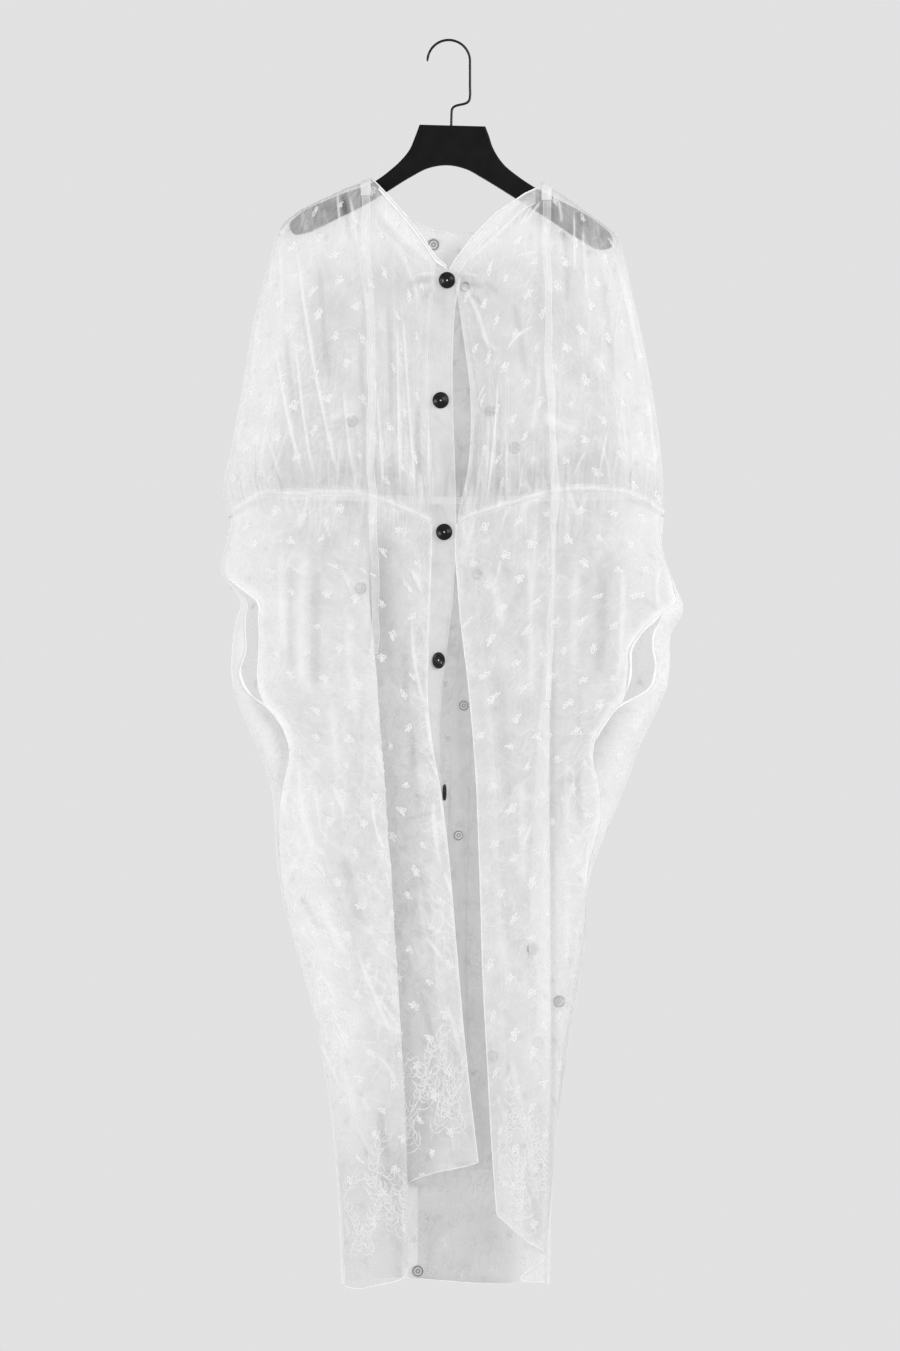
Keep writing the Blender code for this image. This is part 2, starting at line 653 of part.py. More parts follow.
def button(collection, name, centre, facing):
    """Round press button: a low dish with a raised rim, turned about its own axis."""
    rim, well = BUTTON_RADIUS, BUTTON_RADIUS - BUTTON_WELL
    profile = (
        (0, 1.7), (well, 1.7), (well + 0.9, 3.4), (rim - 1.2, 3.4), (rim, 2.2), (rim - 0.8, 0), (0, 0),
    )
    mesh = bpy.data.meshes.new(name)
    points = [(across * MM, 0, up * MM) for across, up in profile]
    edges = [(place, place + 1) for place in range(len(points) - 1)]
    mesh.from_pydata(points, edges, [])
    made = add(collection, name, mesh, "button_black")
    turned = made.modifiers.new("turned", "SCREW")
    turned.steps = 16
    turned.render_steps = 16
    turned.use_merge_vertices = True
    turned.merge_threshold = 0.00001
    made.location = Vector(centre) * MM
    made.rotation_euler = Vector(facing).to_track_quat("Z", "Y").to_euler()
    return made


def stud(collection, name, centre, radius, thickness):
    """Flat round stud that faces the front, with a smaller front face."""
    mesh = bpy.data.meshes.new(name)
    work = bmesh.new()
    bmesh.ops.create_cone(
        work, cap_ends=True, segments=14, radius1=radius * MM, radius2=(radius - 1.2) * MM,
        depth=thickness * MM, matrix=Matrix.Rotation(math.pi / 2, 4, "X"),
    )
    work.to_mesh(mesh)
    work.free()
    made = add(collection, name, mesh, "stud_grey")
    made.location = Vector(centre) * MM
    return made


def depths_on(grid, places):
    """Depth of a grid's faces at places given as x and drop, where they are seen from the front."""
    one, two, three, four = grid[:-1, :-1], grid[:-1, 1:], grid[1:, 1:], grid[1:, :-1]
    halves = ((one, two, three), (one, three, four))
    faces = np.concatenate([np.stack(corners, axis=-2).reshape(-1, 3, 3) for corners in halves])
    flat = faces[..., [0, 2]] * (1, -1)
    first, second = flat[:, 1] - flat[:, 0], flat[:, 2] - flat[:, 0]
    area = first[:, 0] * second[:, 1] - first[:, 1] * second[:, 0]
    depths = []
    for place in places:
        away = place - flat[:, 0]
        along_first = (away[:, 0] * second[:, 1] - away[:, 1] * second[:, 0]) / area
        along_second = (first[:, 0] * away[:, 1] - first[:, 1] * away[:, 0]) / area
        inside = (along_first >= 0) & (along_second >= 0) & (along_first + along_second <= 1)
        face = faces[inside][0, :, 1]
        part, other = along_first[inside][0], along_second[inside][0]
        depths.append(face[0] + part * (face[1] - face[0]) + other * (face[2] - face[0]))
    return np.array(depths)


def room_behind(grid, x, drop):
    """Depth at which a stud just clears the back behind it."""
    turns = np.linspace(0, 2 * math.pi, 12, endpoint=False)
    rim = np.stack([x + STUD_RADIUS * np.cos(turns), drop + STUD_RADIUS * np.sin(turns)], axis=-1)
    return float(depths_on(grid, np.vstack([rim, (x, drop)])).min())


def cuff_edge(side, which, drops):
    """Points along an edge of an arm opening, in front of the cloth."""
    x = opening_edges(side, drops)[1 if which == "front" else 0]
    proud = CLOTH / 2 + SEAM_GAP + CUFF_RADIUS
    rise = 0
    if which == "front":
        rise = column(LEFT_FOLD, 3)(drops) if side == "left" else -right_recess(drops)
    depth = (front_depth(drops) + rise) * edge_round(x, drops) + proud
    return np.stack([x, -depth, -drops], axis=-1)


def shoulder_loop(neck_x, lift):
    """Grid of a strip that passes over the shoulder beside the neck."""
    top = float(shoulder_drop(neck_x))
    angle = np.linspace(-math.pi / 2, math.pi / 2, 9)
    depth = np.where(angle < 0, LOOP_FRONT, LOOP_BACK)
    high = SHOULDER_ROLL + LAID_ON + lift
    y = depth * np.sign(np.sin(angle)) * np.abs(np.sin(angle)) ** (2 / ROLL_POWER)
    drop = top + SHOULDER_ROLL - high * np.abs(np.cos(angle)) ** (2 / ROLL_POWER)
    y = np.concatenate([[-LOOP_FRONT], y, [LOOP_BACK]])
    drop = np.concatenate([[top + LOOP_DROP], drop, [top + LOOP_DROP]])
    x = neck_x + np.array([-0.5, 0.5]) * LOOP_WIDTH
    slope = shoulder_drop(x) - top
    near_crown = 1 - ease((drop - top) / LOOP_DROP)
    grid_y = y[:, None] + 0 * x
    grid_drop = drop[:, None] + near_crown[:, None] * slope
    return np.stack([x + 0 * grid_y, grid_y, -grid_drop], axis=-1)


def tie(table, steps):
    """Grid of a narrow ribbon that hangs in front of the dress."""
    drops = np.linspace(table[0][0], table[-1][0], steps)
    middle = column(table, 1)(drops)[:, None]
    depth = column(table, 2)(drops)[:, None]
    x = middle + np.array([-0.5, 0.5]) * TIE_WIDTH
    return np.stack([x, -depth + 0 * x, -drops[:, None] + 0 * x], axis=-1)


def front_band_depth(x, drop):
    """Depth of a front waist band: the bodice's, without its gathers."""
    full = front_depth(drop) + np.where(x < 0, front_bias(x), 0)
    return -(HALF_SEAM + (full - HALF_SEAM) * edge_round(x, drop))


def back_band_depth(x, drop):
    """Depth of the back waist band."""
    return HALF_SEAM + (back_depth(drop) - HALF_SEAM) * edge_round(x, drop)


def build_bodice(collection):
    """Bodice fronts and back, their neck edges and the waist bands."""
    rows = np.array([0, 0.012, 0.035, 0.08, 0.18, 0.33, 0.50, 0.67, 0.84, 1])
    left = bodice_front("left", 34, rows)
    right = bodice_front("right", 30, rows)
    back = bodice_back(42, rows)
    sheet(collection, "bodice_front_left", left, "sheer_cloth")
    sheet(collection, "bodice_front_right", right, "sheer_cloth")
    sheet(collection, "bodice_back", back, "sheer_cloth")
    left_neck = int(np.argmax(left[0, :, 0] > NECK_EDGE_LEFT))
    right_neck = int(np.argmax(right[0, :, 0] < NECK_EDGE_RIGHT))
    back_from = int(np.argmax(back[0, :, 0] > NECK_EDGE_LEFT))
    back_to = int(np.argmax(back[0, :, 0] > NECK_EDGE_RIGHT))
    binding = moved_out(left, LAID_ON)[:3, left_neck:]
    band = moved_out(right, LAID_ON)[:4, right_neck:]
    facing = moved_out(back, -LAID_ON)[:4, back_from:back_to]
    sheet(collection, "neck_binding_left", binding, "band_cloth")
    sheet(collection, "neck_band_right", band, "band_cloth")
    sheet(collection, "neck_facing_back", facing, "band_cloth")
    bands = (
        ("waist_band_front_left", left, front_band_depth),
        ("waist_band_front_right", right, front_band_depth),
        ("waist_band_back", back, back_band_depth),
    )
    for name, bodice, depth_of in bands:
        sheet(collection, name, waist_band(bodice, depth_of), "band_cloth", BAND_CLOTH)
    return back


def build_skirt(collection):
    """Skirt fronts, the turned layer of the right one, and the back."""
    drops = np.array([
        575, 610, 640, 656, 672, 700, 730, 760, 782, 796, 818, 851, 890, 930, 990, 1080,
        1180, 1290, 1400, 1490,
    ])
    rows = (drops - drops[0]) / (drops[-1] - drops[0])
    sheet(collection, "skirt_front_left", skirt_front("left", (7, 10, 5), rows), "sheer_cloth")
    sheet(collection, "skirt_front_right", skirt_front("right", (6, 10, 5), rows), "sheer_cloth")
    back = skirt_back(3, 15, rows)
    sheet(collection, "skirt_back", back, "sheer_cloth")
    layer = right_return(3, np.linspace(590, 1352, 14))
    sheet(collection, "skirt_front_right_return", layer, "sheer_cloth")
    return back


def build_plackets(collection):
    """Both placket strips with the buttons and their mating halves."""
    drops = np.linspace(LEFT_CENTRE[0][0] + 4, LEFT_CENTRE[-1][0] - 4, 40)
    sheet(collection, "placket_left", placket_left(3, drops), "band_cloth")
    drops = np.linspace(RIGHT_PLACKET[0][0], RIGHT_PLACKET[-1][0], 26)
    sheet(collection, "placket_right", placket_right(drops), "band_cloth")
    for number, (drop, twist_room) in enumerate(BUTTONS, start=1):
        level = np.array([float(drop)])
        x, y, z = placket_left(3, level)[0, 1]
        turn = math.radians(float(left_turn(level)[0]))
        facing = np.array([math.sin(turn), -math.cos(turn), 0])
        centre = np.array([x, y, z]) + facing * (CLOTH / 2 + SEAM_GAP + twist_room)
        button(collection, f"button_{number}", centre, facing)
    for number, drop in enumerate(SOCKET_DROPS, start=1):
        level = np.array([float(drop)])
        x, y, z = placket_right(level)[0, 1]
        centre = (x, y - CLOTH / 2 - SEAM_GAP - SOCKET_THICKNESS / 2, z)
        stud(collection, f"socket_{number}", centre, STUD_RADIUS - 1, SOCKET_THICKNESS)


def build_studs(collection, bodice, skirt):
    """Studs on the inside of the back."""
    for number, (x, drop) in enumerate(BACK_STUDS, start=1):
        grid = bodice if drop < 560 else skirt
        behind = room_behind(grid[:, 3:-3], x, drop)
        laid = LAID_ON if drop < NECK_FACING_LOW else 0
        centre = (x, behind - laid - CLOTH / 2 - SEAM_GAP - STUD_THICKNESS / 2, -drop)
        stud(collection, f"back_stud_{number}", centre, STUD_RADIUS, STUD_THICKNESS)


def build_cuffs(collection):
    """Rolled edges of the two arm openings."""
    for side, (start, stop) in OPENING_ENDS.items():
        front = cuff_edge(side, "front", np.linspace(start, stop - 8, 16))
        back = cuff_edge(side, "back", np.linspace(start + 12, stop + 50, 20))
        rod(collection, f"cuff_front_{side}", front, CUFF_RADIUS, "band_cloth", 1)
        rod(collection, f"cuff_back_{side}", back, CUFF_RADIUS, "band_cloth", 1)


def build_ties(collection):
    """Shoulder loops and the ties that hang from them."""
    sheet(collection, "shoulder_loop_left", shoulder_loop(LEFT_TIE[0][1], 0.6), "band_cloth")
    sheet(collection, "shoulder_loop_right", shoulder_loop(RIGHT_TIE[0][1], 1.4), "band_cloth")
    sheet(collection, "tie_left", tie(LEFT_TIE, 26), "tie_cloth", TIE_CLOTH)
    sheet(collection, "tie_right", tie(RIGHT_TIE, 28), "tie_cloth", TIE_CLOTH)


def main():
    for old in list(bpy.data.objects):
        bpy.data.objects.remove(old, do_unlink=True)
    collection = bpy.data.collections.new(COLLECTION)
    bpy.context.scene.collection.children.link(collection)
    hanger(collection)
    hook(collection)
    bodice = build_bodice(collection)
    skirt = build_skirt(collection)
    build_plackets(collection)
    build_studs(collection, bodice, skirt)
    build_cuffs(collection)
    build_ties(collection)


main()
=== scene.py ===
"""Looks of a sheer cardigan dress that hangs on a flat black hanger.

Metres, +Z up. The front faces -Y and +X is to the right of someone who looks at it. The origin is
the inside of the hook's top. Tables hold millimetres, and a drop is a distance below the origin.
"""

import logging
import math
from collections.abc import Callable
from dataclasses import dataclass, field, replace
from enum import Enum

import bpy
import numpy as np
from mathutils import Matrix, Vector

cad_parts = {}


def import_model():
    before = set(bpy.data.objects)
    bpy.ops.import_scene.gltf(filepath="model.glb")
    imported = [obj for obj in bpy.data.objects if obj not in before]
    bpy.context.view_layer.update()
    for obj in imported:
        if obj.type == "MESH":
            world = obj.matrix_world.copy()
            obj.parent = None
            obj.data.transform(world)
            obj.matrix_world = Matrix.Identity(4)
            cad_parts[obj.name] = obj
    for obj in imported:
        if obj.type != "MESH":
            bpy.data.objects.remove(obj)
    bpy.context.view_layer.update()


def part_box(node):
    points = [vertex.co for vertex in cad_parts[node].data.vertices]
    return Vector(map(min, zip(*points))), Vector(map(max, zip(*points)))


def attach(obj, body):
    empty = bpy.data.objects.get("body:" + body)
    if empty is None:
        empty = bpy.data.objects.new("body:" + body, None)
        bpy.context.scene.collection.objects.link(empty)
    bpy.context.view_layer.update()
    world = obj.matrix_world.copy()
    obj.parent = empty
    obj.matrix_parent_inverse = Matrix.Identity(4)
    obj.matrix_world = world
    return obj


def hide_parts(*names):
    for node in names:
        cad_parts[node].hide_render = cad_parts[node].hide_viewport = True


LOG = logging.getLogger("cardigan_dress")
Array = np.ndarray
Table = tuple[tuple[float, ...], ...]
Colour = tuple[float, float, float, float]
MM = 0.001

# Sizes that the pieces share, in millimetres
ROLL_POWER = 2.3
SHOULDER_ROLL = 10.0
HALF_SEAM = 0.15
SEAM_GAP = 0.4
SKIRT_GAP = 1.0
CLOTH_HALF = 0.6
LEAST_GAP = 0.7
WAIST_DROP = 571.0
WAIST_BAND_HEIGHT = 8.0
PLACKET_WIDTH = 29.0
RIGHT_PLACKET_WIDTH = 27.0
INNER_LAYER_SET = 3.4
NECK_SHARE = 0.60
NOISE_SIZE = 257
WIDE_CREASE = 2.6
RIDGE_WIDTH = 3.4
SKIRT_TOP = 565.0
HEM_WAVE_REACH = 30.0

# Names that the meshes and the materials share
CLOTH_UV = "cloth"
LAYERS = "layers"
STRAND = "strand"
GATHER = "gather"
CRUMPLE = "crumple"
# Painted shade: how far the cloth's base colour is darkened where it lies in shade
PAINTED_SHADE = "painted_shade"

# Light of the studio: the wall's grey, light from all round, and name, place, size, power
WALL_GREY = 0.755
AMBIENT = 0.46
LIGHTS = (
    ("key", (2.2, -2.1, 0.4), 1.4, 56.0),
    ("fill", (-2.3, -2.2, -1.0), 1.6, 34.0),
    ("behind", (-1.5, 3.0, 0.4), 2.4, 78.0),
    ("left_side", (-3.0, -0.3, -0.7), 1.6, 17.0),
    ("right_side", (3.0, -0.3, -0.7), 1.6, 11.0),
)

# Outline of the hanging dress seen from the front: drop, x of the left edge
LEFT_SIDE = (
    (217, -198), (232, -206), (256, -213), (298, -225), (370, -240), (430, -250),
    (490, -261), (532, -270), (552, -270), (571, -262), (604, -267), (622, -272),
    (641, -272), (658, -260), (671, -250), (694, -255), (730, -260), (778, -258),
    (808, -247), (838, -234), (886, -216), (994, -205), (1030, -199), (1090, -183),
    (1150, -166), (1222, -151), (1342, -136), (1500, -128),
)
# Drop, x of the right edge
RIGHT_SIDE = (
    (233, 202), (250, 208), (298, 219), (346, 230), (442, 248), (490, 254),
    (526, 257), (571, 258), (604, 256), (622, 260), (641, 267), (658, 274),
    (676, 281), (688, 280), (706, 269), (749, 265), (778, 261), (795, 254),
    (814, 245), (838, 233), (886, 215), (910, 206), (946, 190), (994, 172),
    (1090, 158), (1222, 136), (1342, 126), (1500, 121),
)
# Shoulder line from each end to its neck point: x, drop
LEFT_SHOULDER = ((-198, 217), (-178, 203), (-154, 191), (-124, 177), (-92, 166))
RIGHT_SHOULDER = ((116, 173), (134, 183), (153, 196), (182, 217), (202, 233))
SHOULDER = LEFT_SHOULDER + ((0, 166),) + RIGHT_SHOULDER
# Depth of the dress in front of and behind the hanger's plane: drop, front, back
DEPTH = (
    (160, 9.5, 9.5), (250, 11, 10.5), (400, 14, 12.5), (571, 16, 14), (700, 17, 15),
    (900, 17, 16), (1200, 16, 16), (1500, 14, 14),
)
# Width of the rounded side edge: drop, width
SIDE_ROLL = ((160, 8), (250, 8), (420, 18), (700, 20), (1500, 18))

# Neck edges from neck point to the crossing, and the back's: x, drop
LEFT_NECK = ((-92, 166), (-75, 184), (-58, 203), (-34, 233), (-14, 262))
RIGHT_NECK = ((116, 173), (92, 184), (56, 208), (26, 239), (5, 268))
BACK_NECK = (
    (-92, 166), (-62, 196), (-43, 214), (-20, 225), (10, 230), (36, 227), (70, 205), (116, 173),
)
# Seam of the left front with its placket strip, and turn of that strip: drop, x, degrees
LEFT_CENTRE = (
    (262, -14, 0), (310, -20, 0), (600, -20, 0), (718, -24, 36), (790, -25, 56),
    (838, -20, 68), (901, -9, 85), (994, 2, 142), (1090, 10, 167), (1222, 22, 170),
    (1345, 36, 170),
)
# Fold that is the visible inner edge of the right front: drop, x
RIGHT_CENTRE = (
    (268, 5), (346, 16), (430, 26), (526, 21), (574, 10), (670, 12), (778, 24),
    (874, 32), (970, 36), (1150, 42), (1222, 46), (1330, 52), (1410, 58),
)
# Middle of the right placket strip: drop, x
RIGHT_PLACKET = (
    (282, 16), (364, 36), (448, 50), (550, 46), (640, 34), (797, 18), (952, 12),
    (1150, 10), (1352, 22),
)
# Waist seam: x, drop
LEFT_WAIST = (
    (-270, 573), (-250, 560), (-232, 547), (-178, 543), (-94, 545), (-58, 559), (-20, 575),
)
RIGHT_WAIST = (
    (10, 575), (38, 565), (74, 554), (119, 541), (182, 538), (212, 542), (242, 556), (262, 570),
)
BACK_WAIST = (
    (-270, 573), (-250, 560), (-232, 550), (-160, 546), (0, 550), (160, 546), (212, 546),
    (242, 556), (262, 570),
)

# Gathers that rise from the waist seam: x at the seam, lean, reach, height
LEFT_GATHERS = (
    (-240, -0.20, 120, 1.2), (-213, -0.24, 170, 1.7), (-194, -0.23, 150, 1.6),
    (-175, -0.21, 190, 2.2), (-157, -0.17, 160, 1.8), (-135, -0.11, 210, 2.1),
    (-112, -0.05, 230, 2.2), (-98, -0.02, 190, 1.8), (-73, 0.00, 200, 2.0),
    (-61, 0.01, 130, 1.2), (-49, 0.02, 170, 1.5), (-36, 0.03, 150, 1.2),
)
RIGHT_GATHERS = (
    (42, 0.03, 210, 2.2), (57, 0.05, 140, 1.5), (70, 0.07, 190, 2.0), (85, 0.08, 170, 1.7),
    (104, 0.09, 220, 2.2), (126, 0.12, 130, 1.3), (150, 0.16, 180, 1.9), (182, 0.20, 160, 1.6),
    (216, 0.22, 120, 1.2),
)
BACK_GATHERS = tuple(
    (-216 + 27 * step, 0.0009 * (-216 + 27 * step), 150 + 35 * (step % 3), 1.5 + 0.4 * (step % 2))
    for step in range(17)
)
# Pleats that fall from the shoulder beside the neck: x, lean, reach, height
LEFT_PLEATS = ((-128, -0.10, 110, 1.4), (-115, -0.08, 140, 1.6), (-102, -0.05, 120, 1.5))
RIGHT_PLEATS = ((112, 0.03, 130, 1.5), (126, 0.06, 120, 1.5), (141, 0.09, 100, 1.3))

# Big fold of each front skirt. Drop, x of its edge, bend, rise above the layer beside it
LEFT_FOLD = (
    (545, -98, 2, 0.5), (640, -98, 5, 4), (750, -88, 12, 9), (900, -76, 20, 13),
    (1090, -63, 22, 14), (1222, -55, 22, 14), (1351, -50, 22, 13), (1500, -50, 22, 12),
)
RIGHT_FOLD = (
    (540, 124, 1, 0.5), (640, 121, 3, 2), (750, 120, 7, 6), (900, 120, 12, 9),
    (1090, 121, 16, 10), (1270, 121, 17, 10), (1390, 117, 17, 10), (1500, 113, 17, 9),
)

# Arm openings. Drop, how far the back is brought round the side, gap from there to the front
LEFT_OPENING = (
    (560, 5, 0.7), (640, 5, 0.7), (656, 6, 7), (672, 8, 13), (700, 13, 17), (730, 18, 16),
    (760, 12, 21), (782, 20, 12), (796, 32, 0.7), (818, 42, 0.7), (851, 38, 0.7),
    (890, 18, 0.7), (930, 7, 0.7), (990, 5, 0.7), (1500, 5, 0.7),
)
RIGHT_OPENING = (
    (560, 5, 0.7), (660, 5, 0.7), (676, 10, 0.7), (686, 24, 1), (700, 22, 10), (714, 22, 17),
    (730, 21, 26), (757, 18, 29), (782, 27, 21), (796, 47, 0.7), (818, 56, 0.7),
    (851, 54, 0.7), (890, 34, 0.7), (930, 15, 0.7), (990, 5, 0.7), (1500, 5, 0.7),
)

# Hems. Position across from the side to the centre front, drop
LEFT_HEM = ((0.0, 1489), (0.25, 1489), (0.46, 1470), (0.66, 1398), (0.72, 1378), (1.0, 1342))
RIGHT_HEM = (
    (0.0, 1490), (0.14, 1486), (0.40, 1483), (0.55, 1465), (0.72, 1440), (0.85, 1424), (1.0, 1404),
)
BACK_HEM = ((0.0, 1489), (0.35, 1487), (0.65, 1493), (1.0, 1490))

# Ties: drop, x, depth in front, twist in degrees
LEFT_TIE = (
    (187.9, -99, 14, 0), (240, -99, 16.5, 6), (330, -94, 18.5, -10), (430, -92, 20.5, 12),
    (526, -92, 22, -14), (622, -88, 25, 22), (694, -87, 27, -30), (735, -89, 28, 35),
)
RIGHT_TIE = (
    (193.1, 117, 14, 0), (250, 117, 16.5, -5), (310, 118, 18, 30), (406, 120, 20, 8),
    (478, 125, 21.5, 40), (538, 126, 23, 6), (600, 125, 24.5, 55), (691, 122, 26, 62),
    (790, 119, 29, 48),
)

# Buttons: drop, extra room over the strip's twist
BUTTONS = ((281, 0), (433, 0), (590, 0.1), (743, 0.65), (901, 0.1))
SOCKET_DROPS = (296, 445, 640, 797, 952)

# Hanger outline, clockwise from its top left corner: x, drop
HANGER_TOP = ((-35, 100.5), (44, 102.6))
HANGER_REST = (
    (44, 102.6), (48, 113), (53, 128), (66, 148), (84, 163), (102, 175), (129, 189.5), (153, 201.5),
    (180, 219), (196, 236), (196, 246), (184, 250), (158, 238), (118, 212), (81, 189), (42, 165),
    (20, 153), (-3, 148.6), (-24, 152), (-46, 163), (-75, 181), (-110, 201), (-147, 219),
    (-172, 230), (-186, 231), (-191, 223), (-178, 207), (-150, 193), (-118, 180), (-96, 172.5),
    (-84, 165.5), (-72, 156.5), (-57, 143), (-48, 132), (-40, 114), (-35, 100.5),
)

# Creases, listed one by one: x, drop where one starts, x, drop where it ends, bow, width, height
LEFT_BODICE_CREASES = (
    (-178, 286, -129, 535, -3.7, 2.6, 2.4), (-208, 358, -171, 533, -4, 2.6, 2),
    (-183, 358, -159, 533, -3.3, 2.4, 2), (-126, 412, -111, 532, -2, 2.4, 1.8),
    (-86, 421, -78, 548, 0.4, 2, 1.7), (-61, 334, -57, 556, -1.2, 2.2, 1.8),
    (-57, 310, -40, 556, 0.7, 2.2, 1.6), (-20, 397, -24, 543, -1.8, 1.8, 1.3),
    (-37, 430, -36, 526, -0.5, 3.2, -1.6), (-230, 500, -212, 537, -0.2, 2.2, 1.2),
    (-218, 475, -198, 531, 0, 2.2, 1.4), (-250, 503, -240, 524, -0.3, 2.4, 1),
    (-120, 178, -97, 334, 1.1, 2.6, 1.8), (-133, 181, -130, 221, -0.4, 2.2, 1.6),
    (-127, 185, -116, 250, -0.4, 3, -1.4), (-93, 188, -14, 271, -5.1, 5, 2),
    (-91, 207, -34, 265, -1.8, 4, -1.3), (-211, 245, -213, 310, -1.1, 3, 1),
    (-202, 242, -199, 334, -0.4, 2.6, 1.1), (-182, 238, -160, 382, -3, 2.8, 1.6),
    (-154, 262, -145, 406, -1.5, 4, -1.2), (-195, 346, -183, 466, -1, 3.4, -1.2),
    (-73, 310, -69, 466, 1.2, 3.4, -1.3), (-106, 346, -100, 478, -0.7, 3.4, -1),
    (-224, 310, -236, 418, -1.7, 4, 1.4), (-238, 382, -255, 490, -1.4, 3.4, 1.2),
    (-68, 238, -34, 322, 4.1, 4, 1), (-52, 296, -16, 287, 2, 5, -1.5),
    (-40, 283, -16, 281, 1, 2.4, 1.3),
    (-30, 312, -16, 294, 1, 3, -1.1),
)
RIGHT_BODICE_CREASES = (
    (105, 185, 17, 269, 2.1, 3.4, 1.8), (111, 193, 90, 221, -0.4, 2.4, 1.4),
    (101, 195, 83, 226, 0.3, 2.2, 1.1), (130, 190, 135, 221, 1.2, 3, 1.3),
    (150, 202, 150, 281, 0, 2.2, 1.6), (20, 297, 50, 380, 3, 4, 1.8),
    (105, 343, 69, 374, -5.8, 2.6, 1.5), (78, 261, 107, 255, 2.1, 2.6, 1),
    (59, 400, 44, 560, 2.1, 2.2, 2.2), (28, 447, 23, 568, -6.2, 2.2, 2),
    (44, 413, 34, 435, -0.9, 2.2, 1.2), (69, 478, 69, 554, 0, 2, 1.7),
    (88, 505, 82, 550, 0.8, 2, 1.4),
    (164, 491, 149, 524, -0.7, 2.4, 1.3), (190, 466, 180, 526, -1, 2.4, 1.4),
    (220, 513, 214, 541, 0.8, 2.4, 1.2), (35, 442, 30, 550, -0.8, 3.2, -1.6),
    (59, 478, 57, 550, 0, 3, -1.3), (76, 310, 90, 406, 3, 5, -1.2),
    (196, 250, 231, 406, 2.8, 5, 1.6),
    (179, 262, 198, 418, 1.2, 4.5, -1), (236, 418, 248, 526, 0.7, 4, 1.2),
    (137, 226, 141, 322, 2, 3.4, -1), (161, 217, 167, 310, -1.9, 2.8, 1),
    (38, 346, 62, 373, -5.2, 3, 1.3), (9, 310, 15, 430, 0, 3, -1.2), (110, 382, 98, 478, 1, 5, 1.1),
    (12, 286, 44, 296, -2, 3.4, -1.4), (14, 280, 36, 284, 1, 2.2, 1.3),
    (16, 300, 40, 318, 2, 2.6, -1.3),
    (13, 296, 30, 308, 1, 2, 1.4), (40, 290, 60, 306, 2, 3, -1.1),
)
LEFT_SKIRT_CREASES = (
    (-150, 569, -141, 598, 0.3, 2, 1.4), (-133, 628, -116, 663, 2.9, 2, 1.5),
    (-172, 598, -174, 790, -3, 9, 2.2), (-157, 622, -157, 790, -3, 7, -1.6),
    (-199, 598, -195, 742, -3, 6, 1.4), (-187, 622, -186, 766, -2.5, 4, -1),
    (-124, 694, -106, 838, -1, 7, 1.2), (-199, 968, -183, 986, 2.7, 1.8, 1.8),
    (-169, 979, -147, 1003, 5.5, 1.9, 1.9), (-138, 890, -124, 921, -1.6, 2.4, 1.4),
    (-90, 910, -73, 973, -5.3, 2, 1.9), (-90, 1010, -76, 1030, 0.3, 1.9, 1.9),
    (-178, 1060, -157, 1082, -1.8, 2.2, 1.6), (-109, 1089, -67, 1190, -1.2, 2.2, 2.2),
    (-84, 1142, -57, 1180, -1.2, 2, 1.9), (-156, 1109, -133, 1148, -0.5, 2.2, 1.9),
    (-141, 1153, -116, 1209, -1.4, 2.4, 1.8), (-152, 1198, -127, 1255, -0.7, 2.2, 2.2),
    (-87, 1210, -60, 1255, 3.3, 2, 2.1), (-111, 1295, -88, 1339, -0.4, 2, 2.1),
    (-103, 1261, -92, 1282, -1.1, 3, 1.6), (-176, 910, -154, 982, -2.9, 6, 1.8),
    (-152, 1018, -118, 1102, -5, 7, 1.9), (-124, 970, -100, 1066, -3.9, 6, -1.5),
    (-175, 1018, -152, 1066, -2.3, 4, -1.2), (-130, 1222, -109, 1294, 1.4, 6, 1.8),
    (-82, 1270, -70, 1342, -3, 5, -1.4), (-124, 1424, -76, 1426, -6, 3, 0.9),
    (-127, 1442, -78, 1447, -3.6, 3, 0.8), (-121, 1405, -70, 1402, -5.4, 3, 0.7),
    (-206, 874, -190, 946, -1, 5, 1.6), (-224, 790, -189, 853, 7, 3, 2),
    (-76, 886, -86, 838, 1, 3, 1),
    (-142, 778, -130, 898, 1, 8, 1.2), (-178, 862, -172, 934, -2, 3, 1.2),
    (-162, 886, -153, 946, 1.4, 2.6, 1.3),
)
LEFT_CENTRE_SKIRT_CREASES = (
    (-45, 633, -30, 665, -0.1, 2.4, 1.8), (-43, 697, -28, 797, -4.9, 3, 1.7),
    (-28, 797, -19, 857, -0.3, 2.8, 1.6), (-25, 857, -8, 891, 0.4, 2.4, 1.6),
    (-57, 937, -8, 923, 2.1, 1.8, -1.2), (-28, 1070, -7, 1100, -0.4, 2.2, 1.7),
    (-7, 992, 9, 1047, 1.4, 2.6, 1.5), (-20, 910, -10, 994, -0.7, 4, 1.3),
    (-37, 1006, -27, 1090, 0, 5, 1.2), (-48, 790, -34, 934, -2, 5, -1.2),
    (-4, 1150, 17, 1222, 1.4, 4, 1.2), (-34, 1138, -15, 1210, -0.5, 4, -1.1),
    (-52, 718, -49, 814, -1.5, 4, -1), (-20, 694, -15, 766, -0.5, 3, 1.2),
    (-10, 898, -3, 946, -0.5, 2.4, 1.1),
)
